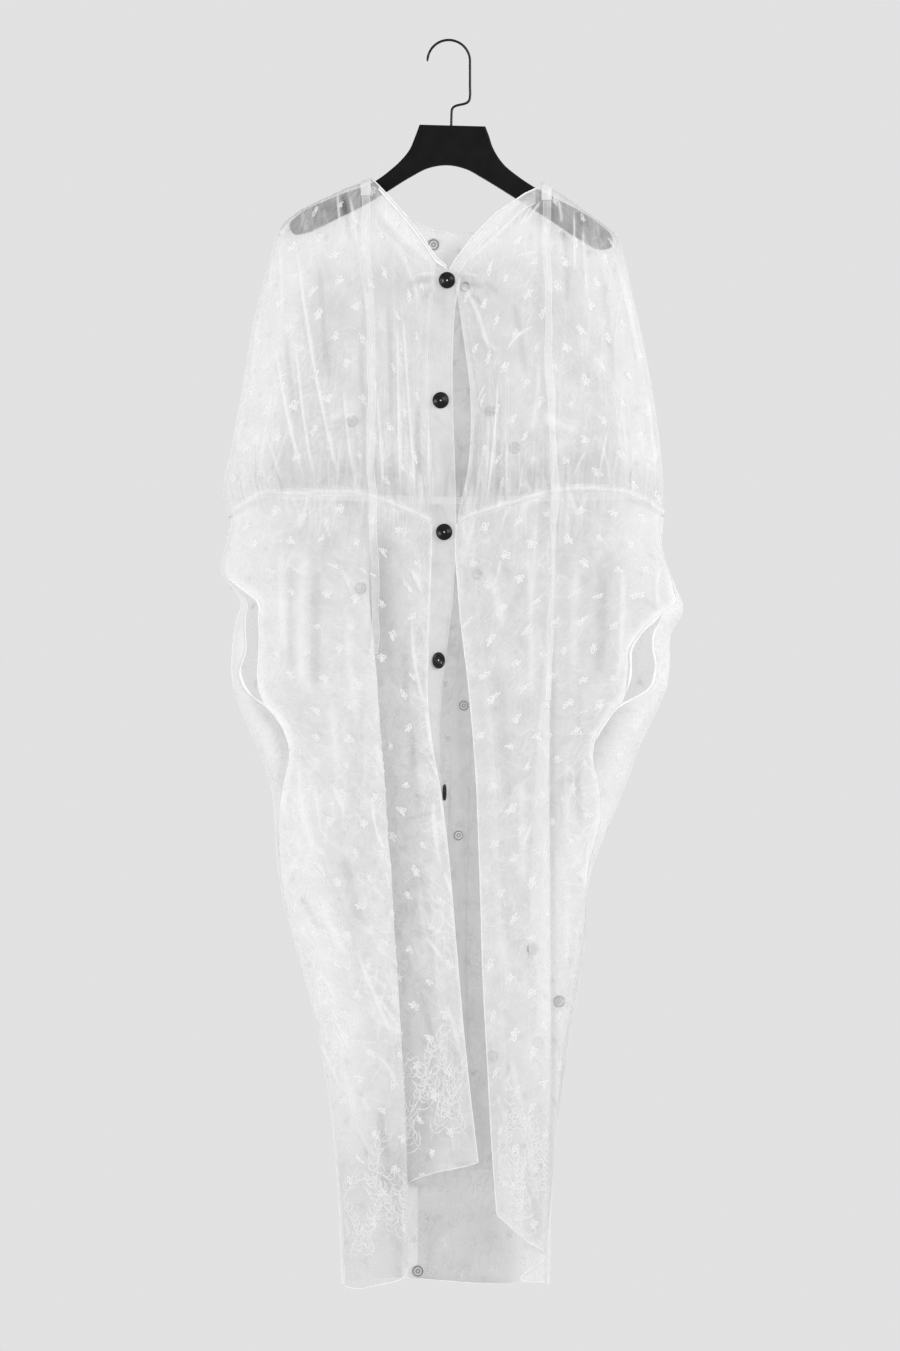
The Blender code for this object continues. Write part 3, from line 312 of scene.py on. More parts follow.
RIGHT_SKIRT_CREASES = (
    (38, 622, 66, 718, 4.8, 7, 1.2), (62, 622, 52, 656, 1.4, 2.2, 1),
    (98, 622, 99, 790, -0.4, 6, 1.3),
    (58, 742, 71, 934, 0.5, 9, -1), (86, 862, 88, 1030, 1, 8, 1.1),
    (101, 934, 87, 965, -0.2, 2.4, 0.9),
    (62, 1030, 71, 1162, -0.1, 9, 1.1), (98, 1066, 101, 1198, -0.4, 6, -0.9),
    (74, 1210, 88, 1282, -1, 5, 1.3), (58, 1258, 71, 1299, -1.5, 4, 1.2),
    (95, 1294, 100, 1366, 0.5, 4, 1.2), (65, 1366, 95, 1371, -4.4, 2.6, 1.1),
    (68, 1388, 100, 1385, -4.4, 2.6, 1.1), (71, 1407, 105, 1400, -5, 2.4, 1),
    (80, 1426, 107, 1421, -5.1, 2.4, 0.9),
)
RIGHT_SIDE_SKIRT_CREASES = (
    (246, 761, 195, 807, 5.2, 2.2, 1.6), (195, 807, 172, 845, 0.4, 2.6, 1.8),
    (197, 847, 212, 873, 0.2, 2, 1.6), (167, 904, 196, 907, 2.5, 2, 1.7),
    (172, 865, 194, 854, 2.7, 2, 1.4), (168, 953, 164, 1021, -1.6, 2, 1.5),
    (182, 916, 186, 941, 0.1, 2, 1.3), (152, 622, 149, 790, -0.3, 9, 1.2),
    (208, 622, 202, 778, 1.8, 5, 1.6), (182, 622, 179, 766, 1.5, 7, -1.2),
    (141, 838, 143, 982, -1, 6, 1.1), (154, 862, 159, 946, -1.9, 4, -1.1),
    (178, 874, 182, 910, -1.7, 3, 1.2), (254, 629, 254, 685, -6, 3, 1),
    (230, 670, 256, 685, -0.1, 2.6, -1.2), (141, 1006, 141, 1126, 0, 5, 1),
    (200, 814, 186, 850, 2.8, 3, -1.2),
)

# Sprays above a front hem: share of its length, height above it, size
LEFT_SPRAYS = (
    (0.09, 28, 0.8), (0.31, 30, 1.15), (0.72, 26, 0.95), (0.88, 30, 1.1), (0.50, 26, 0.8),
)
RIGHT_SPRAYS = ((0.12, 26, 0.8), (0.40, 26, 0.8), (0.77, 26, 1.0), (0.90, 28, 1.1))


class Side(Enum):
    """Half of the dress, as seen from the front."""

    LEFT = "left"
    RIGHT = "right"


Reader = Callable[[Array], Array]


def column(table: Table | Array, index: int) -> Reader:
    """Smooth function of a table's first column: a cubic between rows with their mean slopes.

    Args:
        table: Rows of numbers, whose first column rises.
        index: Column that the function gives.

    Returns:
        Function of an array of places.
    """
    rows = np.array(table, float)
    at, value = rows[:, 0], rows[:, index]
    slope = np.gradient(value, at)

    def read(place: Array) -> Array:
        """Value at places: the values and slopes of the rows on both sides, by cubic weights.

        Args:
            place: Places, held between the first row and the last.

        Returns:
            Values.
        """
        place = np.clip(place, at[0], at[-1])
        row = np.clip(np.searchsorted(at, place, side="right") - 1, 0, len(at) - 2)
        step = at[row + 1] - at[row]
        part = (place - at[row]) / step
        return (
            (1 + 2 * part) * (1 - part) ** 2 * value[row]
            + part * (1 - part) ** 2 * step * slope[row]
            + part**2 * (3 - 2 * part) * value[row + 1]
            - part**2 * (1 - part) * step * slope[row + 1]
        )

    return read


def straight(table: Table, index: int) -> Reader:
    """Function of a table's first column that gives another column, in straight runs."""
    rows = np.array(table, float)
    return lambda place: np.interp(place, rows[:, 0], rows[:, index])


left_side = column(LEFT_SIDE, 1)
right_side = column(RIGHT_SIDE, 1)
shoulder_drop = straight(SHOULDER, 1)
front_depth = column(DEPTH, 1)
back_depth = column(DEPTH, 2)
side_roll = column(SIDE_ROLL, 1)
left_centre = column(LEFT_CENTRE, 1)
left_turn = column(LEFT_CENTRE, 2)
right_centre = column(RIGHT_CENTRE, 1)
right_placket = column(RIGHT_PLACKET, 1)
left_waist = column(LEFT_WAIST, 1)
right_waist = column(RIGHT_WAIST, 1)
back_waist = column(BACK_WAIST, 1)
left_wrap, left_gap = column(LEFT_OPENING, 1), column(LEFT_OPENING, 2)
right_wrap, right_gap = column(RIGHT_OPENING, 1), column(RIGHT_OPENING, 2)


def grey(level: float, blue: float = 0.0) -> Colour:
    """Grey of a level, with a little more blue."""
    return (level, level, level + blue, 1.0)


def ease(value: Array) -> Array:
    """Rise from 0 to 1, level at both ends: 3 v^2 - 2 v^3."""
    value = np.clip(value, 0, 1)
    return value * value * (3 - 2 * value)


def rounded(value: Array) -> Array:
    """Height of a rounded edge along a superellipse: 0 at the edge, 1 from 1 on."""
    value = np.clip(value, 0, 1)
    return (1 - (1 - value) ** ROLL_POWER) ** (1 / ROLL_POWER)


def edge_round(x: Array, drop: Array) -> Array:
    """Share of the full depth: rounded edges at both sides and at the shoulder, multiplied.

    Args:
        x: Places across.
        drop: Places down.

    Returns:
        Shares from 0 to 1.
    """
    roll = side_roll(drop)
    near_left = rounded((x - left_side(drop)) / roll)
    near_right = rounded((right_side(drop) - x) / roll)
    return near_left * near_right * rounded((drop - shoulder_drop(x)) / SHOULDER_ROLL)


def ridges(x: Array, drop: Array, rows: Table, seam: Array) -> Array:
    """Soft ridges that start at a seam and lean as they leave it: a bell across, faded along.

    Args:
        x: Places across.
        drop: Places down.
        rows: x at the seam, lean, reach, height.
        seam: Drop of the seam at each place.

    Returns:
        Heights at the places.
    """
    away = np.abs(seam - drop)
    total = np.zeros_like(x)
    for start, lean, reach, height in rows:
        across = (x - start - lean * away) / (RIDGE_WIDTH + 0.02 * away)
        total += height * np.exp(-(across**2)) * (1 - ease(away / reach))
    return total


def front_bias(x: Array) -> Array:
    """How far the left front stands in front of the right one, towards its centre edge."""
    return 5.0 * ease((x + 85) / 60)


def right_recess(drop: Array) -> Array:
    """How far the right front hangs behind the dress's full depth, below the waist."""
    return 1.5 * ease((drop - 600) / 200)


def line_lengths(line: Array) -> Array:
    """Length from the start of a line of points to each of them."""
    return np.concatenate([[0], np.cumsum(np.linalg.norm(np.diff(line, axis=0), axis=1))])


def along(table: Table, share: Array) -> tuple[Array, Array]:
    """x and drop at shares of the length of an open line of straight runs.

    Args:
        table: x, drop.
        share: Shares of the length.

    Returns:
        Places across and places down.
    """
    rows = np.array(table, float)
    length = line_lengths(rows)
    place = share * length[-1]
    return np.interp(place, length, rows[:, 0]), np.interp(place, length, rows[:, 1])


def smooth_line(points: Array, count: int) -> Array:
    """Smooth line through points: both columns as cubics of the length along them.

    Args:
        points: Rows of two numbers.
        count: How many points it gets, evenly along it.

    Returns:
        Rows of two numbers.
    """
    length = line_lengths(points)
    table, at = np.column_stack([length, points]), np.linspace(0, length[-1], count)
    return np.stack([column(table, 1)(at), column(table, 2)(at)], axis=-1)


def soft_noise(across: Array, down: Array, seed: int) -> Array:
    """Smooth noise from -1 to 1: random heights on a unit grid, joined by eased steps.

    Args:
        across: Place across, in grid steps.
        down: Place down, in grid steps.
        seed: Choice of the heights.

    Returns:
        Heights at the places.
    """
    heights = np.random.default_rng(seed).uniform(-1, 1, (NOISE_SIZE, NOISE_SIZE))
    left, top = np.floor(across).astype(int), np.floor(down).astype(int)
    part_x, part_y = ease(across - left), ease(down - top)
    one, two = left % NOISE_SIZE, (left + 1) % NOISE_SIZE
    high, low = top % NOISE_SIZE, (top + 1) % NOISE_SIZE
    upper = heights[high, one] * (1 - part_x) + heights[high, two] * part_x
    lower = heights[low, one] * (1 - part_x) + heights[low, two] * part_x
    return upper * (1 - part_y) + lower * part_y


def cloth_grain(across: Array, drop: Array, seed: int) -> Array:
    """Fine unevenness of thin cloth, as heights."""
    return 0.16 * soft_noise(across / 4.5, drop / 8, seed)


def crease_relief(x: Array, drop: Array, rows: Table, narrow: float = 1.0) -> Array:
    """Listed creases, as heights of the cloth.

    A crease is a bell across a bowed line, off = distance - 4 bow s (1 - s), and it fades
    out over the quarter of its length at each end. Narrowed ones lose height if they are wide.

    Args:
        x: Places across.
        drop: Places down.
        rows: x, drop, x, drop, bow, width, height. A negative height is a trough.
        narrow: Factor of the widths.

    Returns:
        Heights at the places.
    """
    total = np.zeros_like(x)
    for start_x, start_drop, stop_x, stop_drop, bow, width, height in rows:
        run_x, run_drop = stop_x - start_x, stop_drop - start_drop
        length = math.hypot(run_x, run_drop)
        share = ((x - start_x) * run_x + (drop - start_drop) * run_drop) / length**2
        off = ((x - start_x) * run_drop - (drop - start_drop) * run_x) / length
        off = off - 4 * bow * share * (1 - share)
        kept = min(1.0, (WIDE_CREASE / width) ** (2 * (1 - narrow)))
        fade = ease(4 * np.minimum(share, 1 - share)) * kept
        total += height * fade * np.exp(-((off / (narrow * width)) ** 2))
    return total


@dataclass(frozen=True)
class Crumple:
    """Small creases of worn thin cloth: narrow ridges where a warped noise crosses zero."""

    height: Array | float
    across: float
    down: float
    lean: float
    seed: int
    sharpness: float = 5.0

    def relief(self, x: Array, drop: Array) -> Array:
        """Heights: (1 - |noise|)^sharpness, in patches where a second noise is high.

        Args:
            x: Places across.
            drop: Places down.

        Returns:
            Heights at the places.
        """
        turned_x = x + self.lean * drop
        warp = 0.7 * soft_noise(x / self.down + 7, drop / self.down, self.seed + 1)
        noise = soft_noise(turned_x / self.across + warp, drop / self.down + warp, self.seed)
        patch = ease(0.5 + 0.8 * soft_noise(x / 60 + 3, drop / 90, self.seed + 2))
        return self.height * patch * ((1 - np.abs(noise)) ** self.sharpness - 0.2)


def surface_normals(points: Array) -> Array:
    """Unit normals of a grid: the direction across times the direction down."""
    normal = np.cross(np.gradient(points, axis=1), np.gradient(points, axis=0))
    return normal / np.maximum(np.linalg.norm(normal, axis=-1, keepdims=True), 1e-9)


def arc_lengths(points: Array, axis: int) -> Array:
    """Length along a grid's rows or columns, from 0 at its start.

    Args:
        points: Grid of points.
        axis: 1 along the rows, 0 along the columns.

    Returns:
        A length at each point.
    """
    steps = np.linalg.norm(np.diff(points, axis=axis), axis=-1)
    start = np.zeros_like(steps[:, :1] if axis == 1 else steps[:1])
    return np.concatenate([start, np.cumsum(steps, axis=axis)], axis=axis)


def grid_faces(rows: int, columns: int, flipped: bool) -> Array:
    """Corner numbers of a grid's quads.

    Args:
        rows: Rows of points.
        columns: Columns of points.
        flipped: Whether the quads are turned over.

    Returns:
        Four numbers a quad.
    """
    index = np.arange(rows * columns).reshape(rows, columns)
    corners = [index[:-1, :-1], index[:-1, 1:], index[1:, 1:], index[1:, :-1]]
    return np.stack(corners[::-1] if flipped else corners, axis=-1).reshape(-1, 4)


def ring_faces(rings: int, sides: int) -> tuple[Array, Array, Array]:
    """Corner numbers of closed rings of points, one above the other.

    Args:
        rings: How many rings.
        sides: Corners of each.

    Returns:
        Each ring's numbers, those of each corner's next one, and the quads between the rings.
    """
    index = np.arange(rings * sides).reshape(rings, sides)
    after = np.roll(index, -1, axis=1)
    walls = np.stack([index[:-1], index[1:], after[1:], after[:-1]], axis=-1).reshape(-1, 4)
    return index, after, walls


def spokes(facing: Array, sides: int) -> Array:
    """Directions round a line: cos a * first + sin a * second, both square to it.

    Args:
        facing: Unit direction of the line.
        sides: How many spokes.

    Returns:
        Unit directions.
    """
    first = np.cross(facing, (0, 0, 1))
    first /= np.linalg.norm(first)
    turns = np.linspace(0, 2 * math.pi, sides, endpoint=False)[:, None]
    return np.cos(turns) * first + np.sin(turns) * np.cross(facing, first)


@dataclass
class Panel:
    """A piece of cloth as a grid of points in millimetres, with a measure of its own.

    Rows run down and columns across. Lengths are measured before the relief, so a place
    given by them stays where it was when the cloth is creased.
    """

    points: Array
    outward: float
    across: Array = field(init=False)
    down: Array = field(init=False)
    normals: Array = field(init=False)

    def __post_init__(self) -> None:
        """Measure the smooth cloth."""
        self.across = arc_lengths(self.points, 1)
        self.down = arc_lengths(self.points, 0)
        self.normals = surface_normals(self.points) * self.outward

    @property
    def x(self) -> Array:
        """Places across the dress."""
        return self.points[..., 0]

    @property
    def drop(self) -> Array:
        """Distances below the origin."""
        return -self.points[..., 2]

    def relieve(self, relief: Array) -> None:
        """Move the points along the outward normals by heights in millimetres."""
        self.points = self.points + self.normals * relief[..., None]
        self.normals = surface_normals(self.points) * self.outward

    def sample(self, row: Array, column_at: Array, lift: Array | float) -> Array:
        """Points on the cloth, each the mean of the four grid points round it by closeness.

        Args:
            row: Rows, with fractions.
            column_at: Columns, with fractions.
            lift: How far out the points are moved.

        Returns:
            Points.
        """
        rows, columns = self.across.shape
        row, column_at = np.clip(row, 0, rows - 1), np.clip(column_at, 0, columns - 1)
        top = np.minimum(row.astype(int), rows - 2)
        left = np.minimum(column_at.astype(int), columns - 2)
        part_y, part_x = (row - top)[..., None], (column_at - left)[..., None]

        def blend(grid: Array) -> Array:
            """The mean of a grid of vectors at the places.

            Args:
                grid: Vectors at the grid's points.

            Returns:
                Vectors at the places.
            """
            upper = grid[top, left] * (1 - part_x) + grid[top, left + 1] * part_x
            lower = grid[top + 1, left] * (1 - part_x) + grid[top + 1, left + 1] * part_x
            return upper * (1 - part_y) + lower * part_y

        return blend(self.points) + blend(self.normals) * np.asarray(lift)[..., None]

    def locate(self, across: Array, down: Array, from_hem: bool = False) -> tuple[Array, Array]:
        """Row and column of places measured along the cloth, found in four rounds.

        Args:
            across: Millimetres from the first column.
            down: Millimetres from the top edge, or up from the hem.
            from_hem: Whether down is measured up from the hem.

        Returns:
            Rows and columns, with fractions.
        """
        rows, columns = self.across.shape
        mean = self.down.mean(axis=1)
        stretch = self.down[-1] / mean[-1]
        stride = self.across.max() + 1
        keys = (self.across + stride * np.arange(rows)[:, None]).ravel()
        place = np.full(np.shape(across), columns / 2)
        for _ in range(4):
            level = down / np.interp(place, np.arange(columns), stretch)
            level = mean[-1] - level if from_hem else level
            row = np.interp(level, mean, np.arange(rows))
            top = np.clip(row.astype(int), 0, rows - 2)
            near = []
            for line in (top, top + 1):
                spot = np.searchsorted(keys, stride * line + across) - 1 - line * columns
                spot = np.clip(spot, 0, columns - 2)
                start, stop = self.across[line, spot], self.across[line, spot + 1]
                step = np.maximum(stop - start, 1e-9)
                near.append(spot + np.clip((across - start) / step, 0, 1))
            place = near[0] + (row - top) * (near[1] - near[0])
        return row, place

    def width_at(self, down: Array) -> Array:
        """Length of the rows at distances down the mean column."""
        return np.interp(down, self.down.mean(axis=1), self.across[:, -1])

    def cut_size(self) -> tuple[float, float]:
        """Width and length in metres when it is laid flat: its longest row and longest column."""
        return float(self.across[:, -1].max()) * MM, float(self.down[-1].max()) * MM

    def area(self) -> float:
        """Area of the smooth cloth: mean step across times mean step down.

        Returns:
            Square metres.
        """
        wide = np.diff(self.across, axis=1)
        high = np.diff(self.down, axis=0)
        mean_wide = (wide[:-1] + wide[1:]) / 2
        mean_high = (high[:, :-1] + high[:, 1:]) / 2
        return float((mean_wide * mean_high).sum()) * MM**2


class Value:
    """A node's output, with the operators that shader maths needs."""

    def __init__(self, nodes: "Nodes", socket: bpy.types.NodeSocket) -> None:
        """Wrap a socket of some nodes."""
        self.nodes, self.socket = nodes, socket

    def maths(self, operation: str, *others: "Value | float") -> "Value":
        """A Math node of this value and others.

        Args:
            operation: What it does.
            others: Its further inputs.

        Returns:
            Its output.
        """
        inputs = dict(enumerate((self, *others)))
        node = self.nodes.node("ShaderNodeMath", {"operation": operation}, inputs)
        return Value(self.nodes, node.outputs[0])

    def reflected(self, operation: str, other: float) -> "Value":
        """A Math node with a number first and this value second."""
        node = self.nodes.node("ShaderNodeMath", {"operation": operation}, {0: other, 1: self})
        return Value(self.nodes, node.outputs[0])

    def __add__(self, other: "Value | float") -> "Value":
        """Sum."""
        return self.maths("ADD", other)

    __radd__ = __add__

    def __sub__(self, other: "Value | float") -> "Value":
        """Difference."""
        return self.maths("SUBTRACT", other)

    def __rsub__(self, other: float) -> "Value":
        """A number less this value."""
        return self.reflected("SUBTRACT", other)

    def __mul__(self, other: "Value | float") -> "Value":
        """Product."""
        return self.maths("MULTIPLY", other)

    __rmul__ = __mul__

    def __pow__(self, other: "Value | float") -> "Value":
        """This value to a power."""
        return self.maths("POWER", other)

    def __rpow__(self, other: float) -> "Value":
        """A number to this value's power."""
        return self.reflected("POWER", other)

    def clamped(self) -> "Value":
        """The value held between 0 and 1."""
        return self.maths("MAXIMUM", 0.0).maths("MINIMUM", 1.0)

    def above(self, edge: float, blur: float) -> "Value":
        """0 below an edge and 1 above it, blurred: (value - edge) / blur + 1/2, held."""
        return ((self - edge) * (1 / blur) + 0.5).clamped()

    def crest(self, narrow: float) -> "Value":
        """Ridge where a noise crosses its middle: (1 - narrow |2 value - 1|) cubed, held."""
        return (1 - (self * 2 - 1).maths("ABSOLUTE") * narrow).clamped() ** 3


class Nodes:
    """The nodes of a material or of the world, all made by one method."""

    def __init__(self, owner: bpy.types.Material | bpy.types.World) -> None:
        """Start with no nodes."""
        owner.use_nodes = True
        self.tree = owner.node_tree
        self.tree.nodes.clear()

    def feed(self, socket: bpy.types.NodeSocket, value: object) -> None:
        """Link or set a node's input.

        Args:
            socket: The input.
            value: A value or an output to link, or a number or colour to set.
        """
        value = value.socket if isinstance(value, Value) else value
        if isinstance(value, bpy.types.NodeSocket):
            self.tree.links.new(value, socket)
        else:
            socket.default_value = value

    def node(
        self, kind: str, settings: dict[str, object], inputs: dict[str | int, object]
    ) -> bpy.types.Node:
        """Make a node.

        Args:
            kind: Its type.
            settings: Its own settings, such as operation, set first.
            inputs: Values or links of its sockets, by name or number.

        Returns:
            The node.
        """
        made = self.tree.nodes.new(kind)
        for name, value in settings.items():
            setattr(made, name, value)
        for name, value in inputs.items():
            self.feed(made.inputs[name], value)
        return made


class Graph(Nodes):
    """A material's nodes, round a Principled shader."""

    def __init__(self, name: str) -> None:
        """Start a material with its shader."""
        self.material = bpy.data.materials.new(name)
        super().__init__(self.material)
        self.shader = self.node("ShaderNodeBsdfPrincipled", {}, {})
        self.node("ShaderNodeOutputMaterial", {}, {"Surface": self.shader.outputs[0]})

    def dress(self, **inputs: object) -> None:
        """Set or link sockets of the shader, by names with _ for a space."""
        for name, value in inputs.items():
            self.feed(self.shader.inputs[name.replace("_", " ")], value)

    def noise(self, place: bpy.types.NodeSocket, scale: float, detail: float = 2.0) -> Value:
        """Noise from 0 to 1 about 0.5 at a place."""
        inputs = {"Vector": place, "Scale": scale, "Detail": detail}
        return Value(self, self.node("ShaderNodeTexNoise", {}, inputs).outputs[0])

    def stretched(
        self, place: bpy.types.NodeSocket, scale: tuple[float, float, float]
    ) -> bpy.types.NodeSocket:
        """The place with each axis scaled."""
        return self.node("ShaderNodeMapping", {}, {"Vector": place, "Scale": scale}).outputs[0]

    def cloth_place(self) -> bpy.types.NodeSocket:
        """Place on the cloth in metres, from its UV map."""
        return self.node("ShaderNodeUVMap", {"uv_map": CLOTH_UV}, {}).outputs[0]

    def object_place(self) -> bpy.types.NodeSocket:
        """Place in the dress's frame in metres."""
        return self.node("ShaderNodeTexCoord", {}, {}).outputs["Object"]

    def parts(self, place: bpy.types.NodeSocket) -> tuple[Value, Value]:
        """First two numbers of a place."""
        split = self.node("ShaderNodeSeparateXYZ", {}, {0: place})
        return Value(self, split.outputs[0]), Value(self, split.outputs[1])

    def joined(self, first: Value, second: Value) -> bpy.types.NodeSocket:
        """Place made of two numbers."""
        return self.node("ShaderNodeCombineXYZ", {}, {0: first, 1: second}).outputs[0]

    def attribute(self, name: str) -> Value:
        """A number that the mesh carries at each point."""
        node = self.node("ShaderNodeAttribute", {"attribute_name": name}, {})
        return Value(self, node.outputs["Fac"])

    def bump(self, height: Value, distance: float, strength: float = 1.0) -> None:
        """Bend the shader's normal by a height."""
        inputs = {"Height": height, "Distance": distance, "Strength": strength}
        self.dress(Normal=self.node("ShaderNodeBump", {}, inputs).outputs[0])

    def tint(self, low: Colour, high: Colour, share: Value) -> None:
        """Base colour between two, by a share."""
        node = self.node("ShaderNodeMix", {"data_type": "RGBA"}, {0: share, 6: low, 7: high})
        self.dress(Base_Color=node.outputs[2])


class Weave(Enum):
    """How open a cloth is."""

    VOILE = "voile"
    DOUBLED = "doubled"


@dataclass(frozen=True)
class ClothFinish:
    """Sheer or doubled white cotton: fine threads, slubs and an uneven cover."""

    name: str
    weave: Weave
    cover: float
    thread: float = 0.0007
    stitch_margin: float = 0.0
    stitch_pitch: float = 0.0026
    width: float = 0.0
    # Dark end of the base colour, which the painted shade pulls the cloth towards; the random tone
    # keeps it near the light end
    shade: Colour = grey(0.44, 0.005)
    light: Colour = grey(0.96)

    def slubs(self, graph: Graph, place: bpy.types.NodeSocket) -> Value:
        """Thick places of the threads both ways, about 0.5."""
        along_weft = graph.noise(graph.stretched(place, (60, 900, 1)), 1.0)
        return along_weft * 0.5 + graph.noise(graph.stretched(place, (900, 45, 1)), 1.0) * 0.5

    def gathers(self, graph: Graph, down: Value) -> Value:
        """Crests of fine gathers: narrow and broad ones along the strands, in patches.

        Args:
            graph: The material's nodes.
            down: Place down the cloth.

        Returns:
            Crests, where the mesh says that the cloth is gathered.
        """
        strand = graph.attribute(STRAND)
        narrow = graph.noise(graph.joined(strand * 120, down * 5), 1.0, 0.6).crest(4.5) * 1.5
        broad = graph.noise(graph.joined(strand * 52 + 5, down * 7), 1.0, 0.0).crest(9) * 2.8
        patch = graph.noise(graph.joined(strand * 26, down * 9), 1.0, 1.0).above(0.5, 0.2)
        return (narrow + broad) * patch * graph.attribute(GATHER)

    def crumples(self, graph: Graph, place: bpy.types.NodeSocket) -> Value:
        """Crests of slanting folds and of smaller wrinkles, each in its own patches.

        Args:
            graph: The material's nodes.
            place: Place on the cloth.

        Returns:
            Crests, where the mesh says that the cloth is crumpled.
        """
        across, down = graph.parts(place)
        bent = graph.noise(place, 24.0, 1.0) * 1.7
        slanting = graph.joined(across * 58 + down * 30 + bent, down * 34 - across * 10 + bent)
        folded = graph.noise(slanting, 1.0, 0.4).crest(5.5) * 2.2
        small = graph.joined(across * 84 - down * 62 + bent, down * 58 + bent)
        wrinkled = graph.noise(small, 1.0, 0.4).crest(5.0) * 1.6
        folded = folded * graph.noise(place, 15.0, 2.0).above(0.50, 0.14)
        wrinkled = wrinkled * graph.noise(place, 22.0, 1.0).above(0.54, 0.10)
        return (folded + wrinkled) * graph.attribute(CRUMPLE)

    def stitches(self, across: Value, down: Value) -> Value:
        """Rows of stitches at the margin from both long edges.

        Args:
            across: Place across the strip.
            down: Place down it.

        Returns:
            1 on a stitch, 0 off the rows.
        """
        half = self.width / 2
        off = (across - half).maths("ABSOLUTE") - (half - self.stitch_margin)
        row = 1 - (off.maths("ABSOLUTE") * 1600).clamped()
        return row * (down * (2 * math.pi / self.stitch_pitch)).maths("SINE").above(-0.4, 0.6)

    def make(self) -> bpy.types.Material:
        """Build the material.

        Alpha is 1 - (1 - cover) to the power of the layers. The layers are those that the mesh
        carries and more on the crests of fine gathers and crumples, where the mesh says so.
        The base colour carries painted shade: it is pulled towards the dark end where the mesh's
        painted shade says that the cloth lies in shade, deep in the garment, in troughs and in
        recesses.

        Returns:
            The material.
        """
        graph = Graph(self.name)
        place = graph.cloth_place()
        across, down = graph.parts(place)
        turn = 2 * math.pi / self.thread
        weft = (across * turn).maths("SINE") * (down * turn).maths("SINE")
        slub = self.slubs(graph, place)
        cloud = graph.noise(graph.object_place(), 38.0, 3.0)
        grain = graph.noise(graph.object_place(), 420.0, 2.0)
        creased = self.gathers(graph, down) + self.crumples(graph, place)
        height = weft * 0.2 + slub * 1.0 + grain * 0.6 + creased * 1.3
        if self.stitch_margin:
            height = height + self.stitches(across, down) * 2.2
        graph.bump(height, BUMP_DEPTH[self.weave])
        cover = self.cover + (slub - 0.5) * 0.20 + (cloud - 0.5) * 0.34
        layers = graph.attribute(LAYERS) + creased
        # Random cloud and grain tone, less the painted shade that the mesh carries
        bright = 0.82 + (cloud + grain) * 0.11 - graph.attribute(PAINTED_SHADE)
        graph.tint(self.shade, self.light, bright.clamped())
        graph.dress(
            Alpha=(1 - (1 - cover.clamped()) ** layers).clamped(),
            Roughness=0.88 + (slub - 0.5) * 0.1,
            Sheen_Weight=0.25,
            Sheen_Roughness=0.5,
            Specular_IOR_Level=0.25,
        )
        return graph.material


@dataclass(frozen=True)
class ThreadFinish:
    """Glossy white embroidery or sewing thread, twisted."""

    name: str
    bright: float = 0.95
    cover: float = 1.0

    def make(self) -> bpy.types.Material:
        """Build the material: strands as a bump of stretched noise, with a painted highlight that
        makes them a little lighter on top.

        Returns:
            The material.
        """
        graph = Graph(self.name)
        strands = graph.noise(graph.object_place(), 1400.0, 1.0)
        graph.bump(strands, 0.0003, 0.8)
        # Tone that varies along the strands, lighter on their raised tops as a painted highlight
        graph.tint(grey(self.bright - 0.05), grey(self.bright), strands)
        graph.dress(
            Roughness=0.55 + (strands - 0.5) * 0.2, Sheen_Weight=0.3,
            Alpha=(self.cover + (strands - 0.5) * 0.6).clamped(),
        )
        return graph.material


@dataclass(frozen=True)
class HardFinish:
    """Moulded or lacquered part: a base colour with wear, dust and a fine texture."""

    name: str
    dark: Colour
    light: Colour
    roughness: float
    texture: float
    depth: float
    metallic: float = 0.0
    gloss: float = 0.5

    def make(self) -> bpy.types.Material:
        """Build the material: fine grain as bump, broad marks in colour and roughness.

        Returns:
            The material.
        """
        graph = Graph(self.name)
        place = graph.object_place()
        grain = graph.noise(place, self.texture, 3.0)
        marks = graph.noise(place, 55.0, 4.0)
        graph.bump(grain, self.depth)
        graph.tint(self.dark, self.light, (marks * 0.6 + grain * 0.4).above(0.52, 0.35))
        graph.dress(
            Roughness=self.roughness + (marks - 0.5) * 0.16,
            Metallic=self.metallic,
            Specular_IOR_Level=self.gloss,
        )
        return graph.material


Finish = ClothFinish | ThreadFinish | HardFinish
BUMP_DEPTH = {Weave.VOILE: 0.00022, Weave.DOUBLED: 0.00018}

VOILE = ClothFinish("white_voile", Weave.VOILE, 0.39)
BACK_VOILE = ClothFinish("white_voile_back", Weave.VOILE, 0.42)
BINDING = ClothFinish(
    "folded_voile_binding", Weave.DOUBLED, 0.96, stitch_margin=0.0016, width=0.009
)
SHOULDER_LOOP = ClothFinish("shoulder_loop", Weave.DOUBLED, 0.66)
NECK_BAND = ClothFinish("turned_neck_band", Weave.DOUBLED, 0.46, stitch_margin=0.0018, width=0.022)
FACING = ClothFinish("back_neck_facing", Weave.DOUBLED, 0.40, stitch_margin=0.0018, width=0.027)
PLACKET = ClothFinish("placket_strip", Weave.DOUBLED, 0.36, stitch_margin=0.0020, width=0.029)
INNER_PLACKET = ClothFinish(
    "inner_placket_strip", Weave.DOUBLED, 0.44, stitch_margin=0.0020, width=0.027
)
SEAM_BAND = ClothFinish("waist_seam_band", Weave.DOUBLED, 0.42)
RIBBON = ClothFinish("tie_ribbon", Weave.DOUBLED, 0.30, stitch_margin=0.0012, width=0.0095)
EMBROIDERY = ThreadFinish("embroidery_thread", 0.97, 0.64)
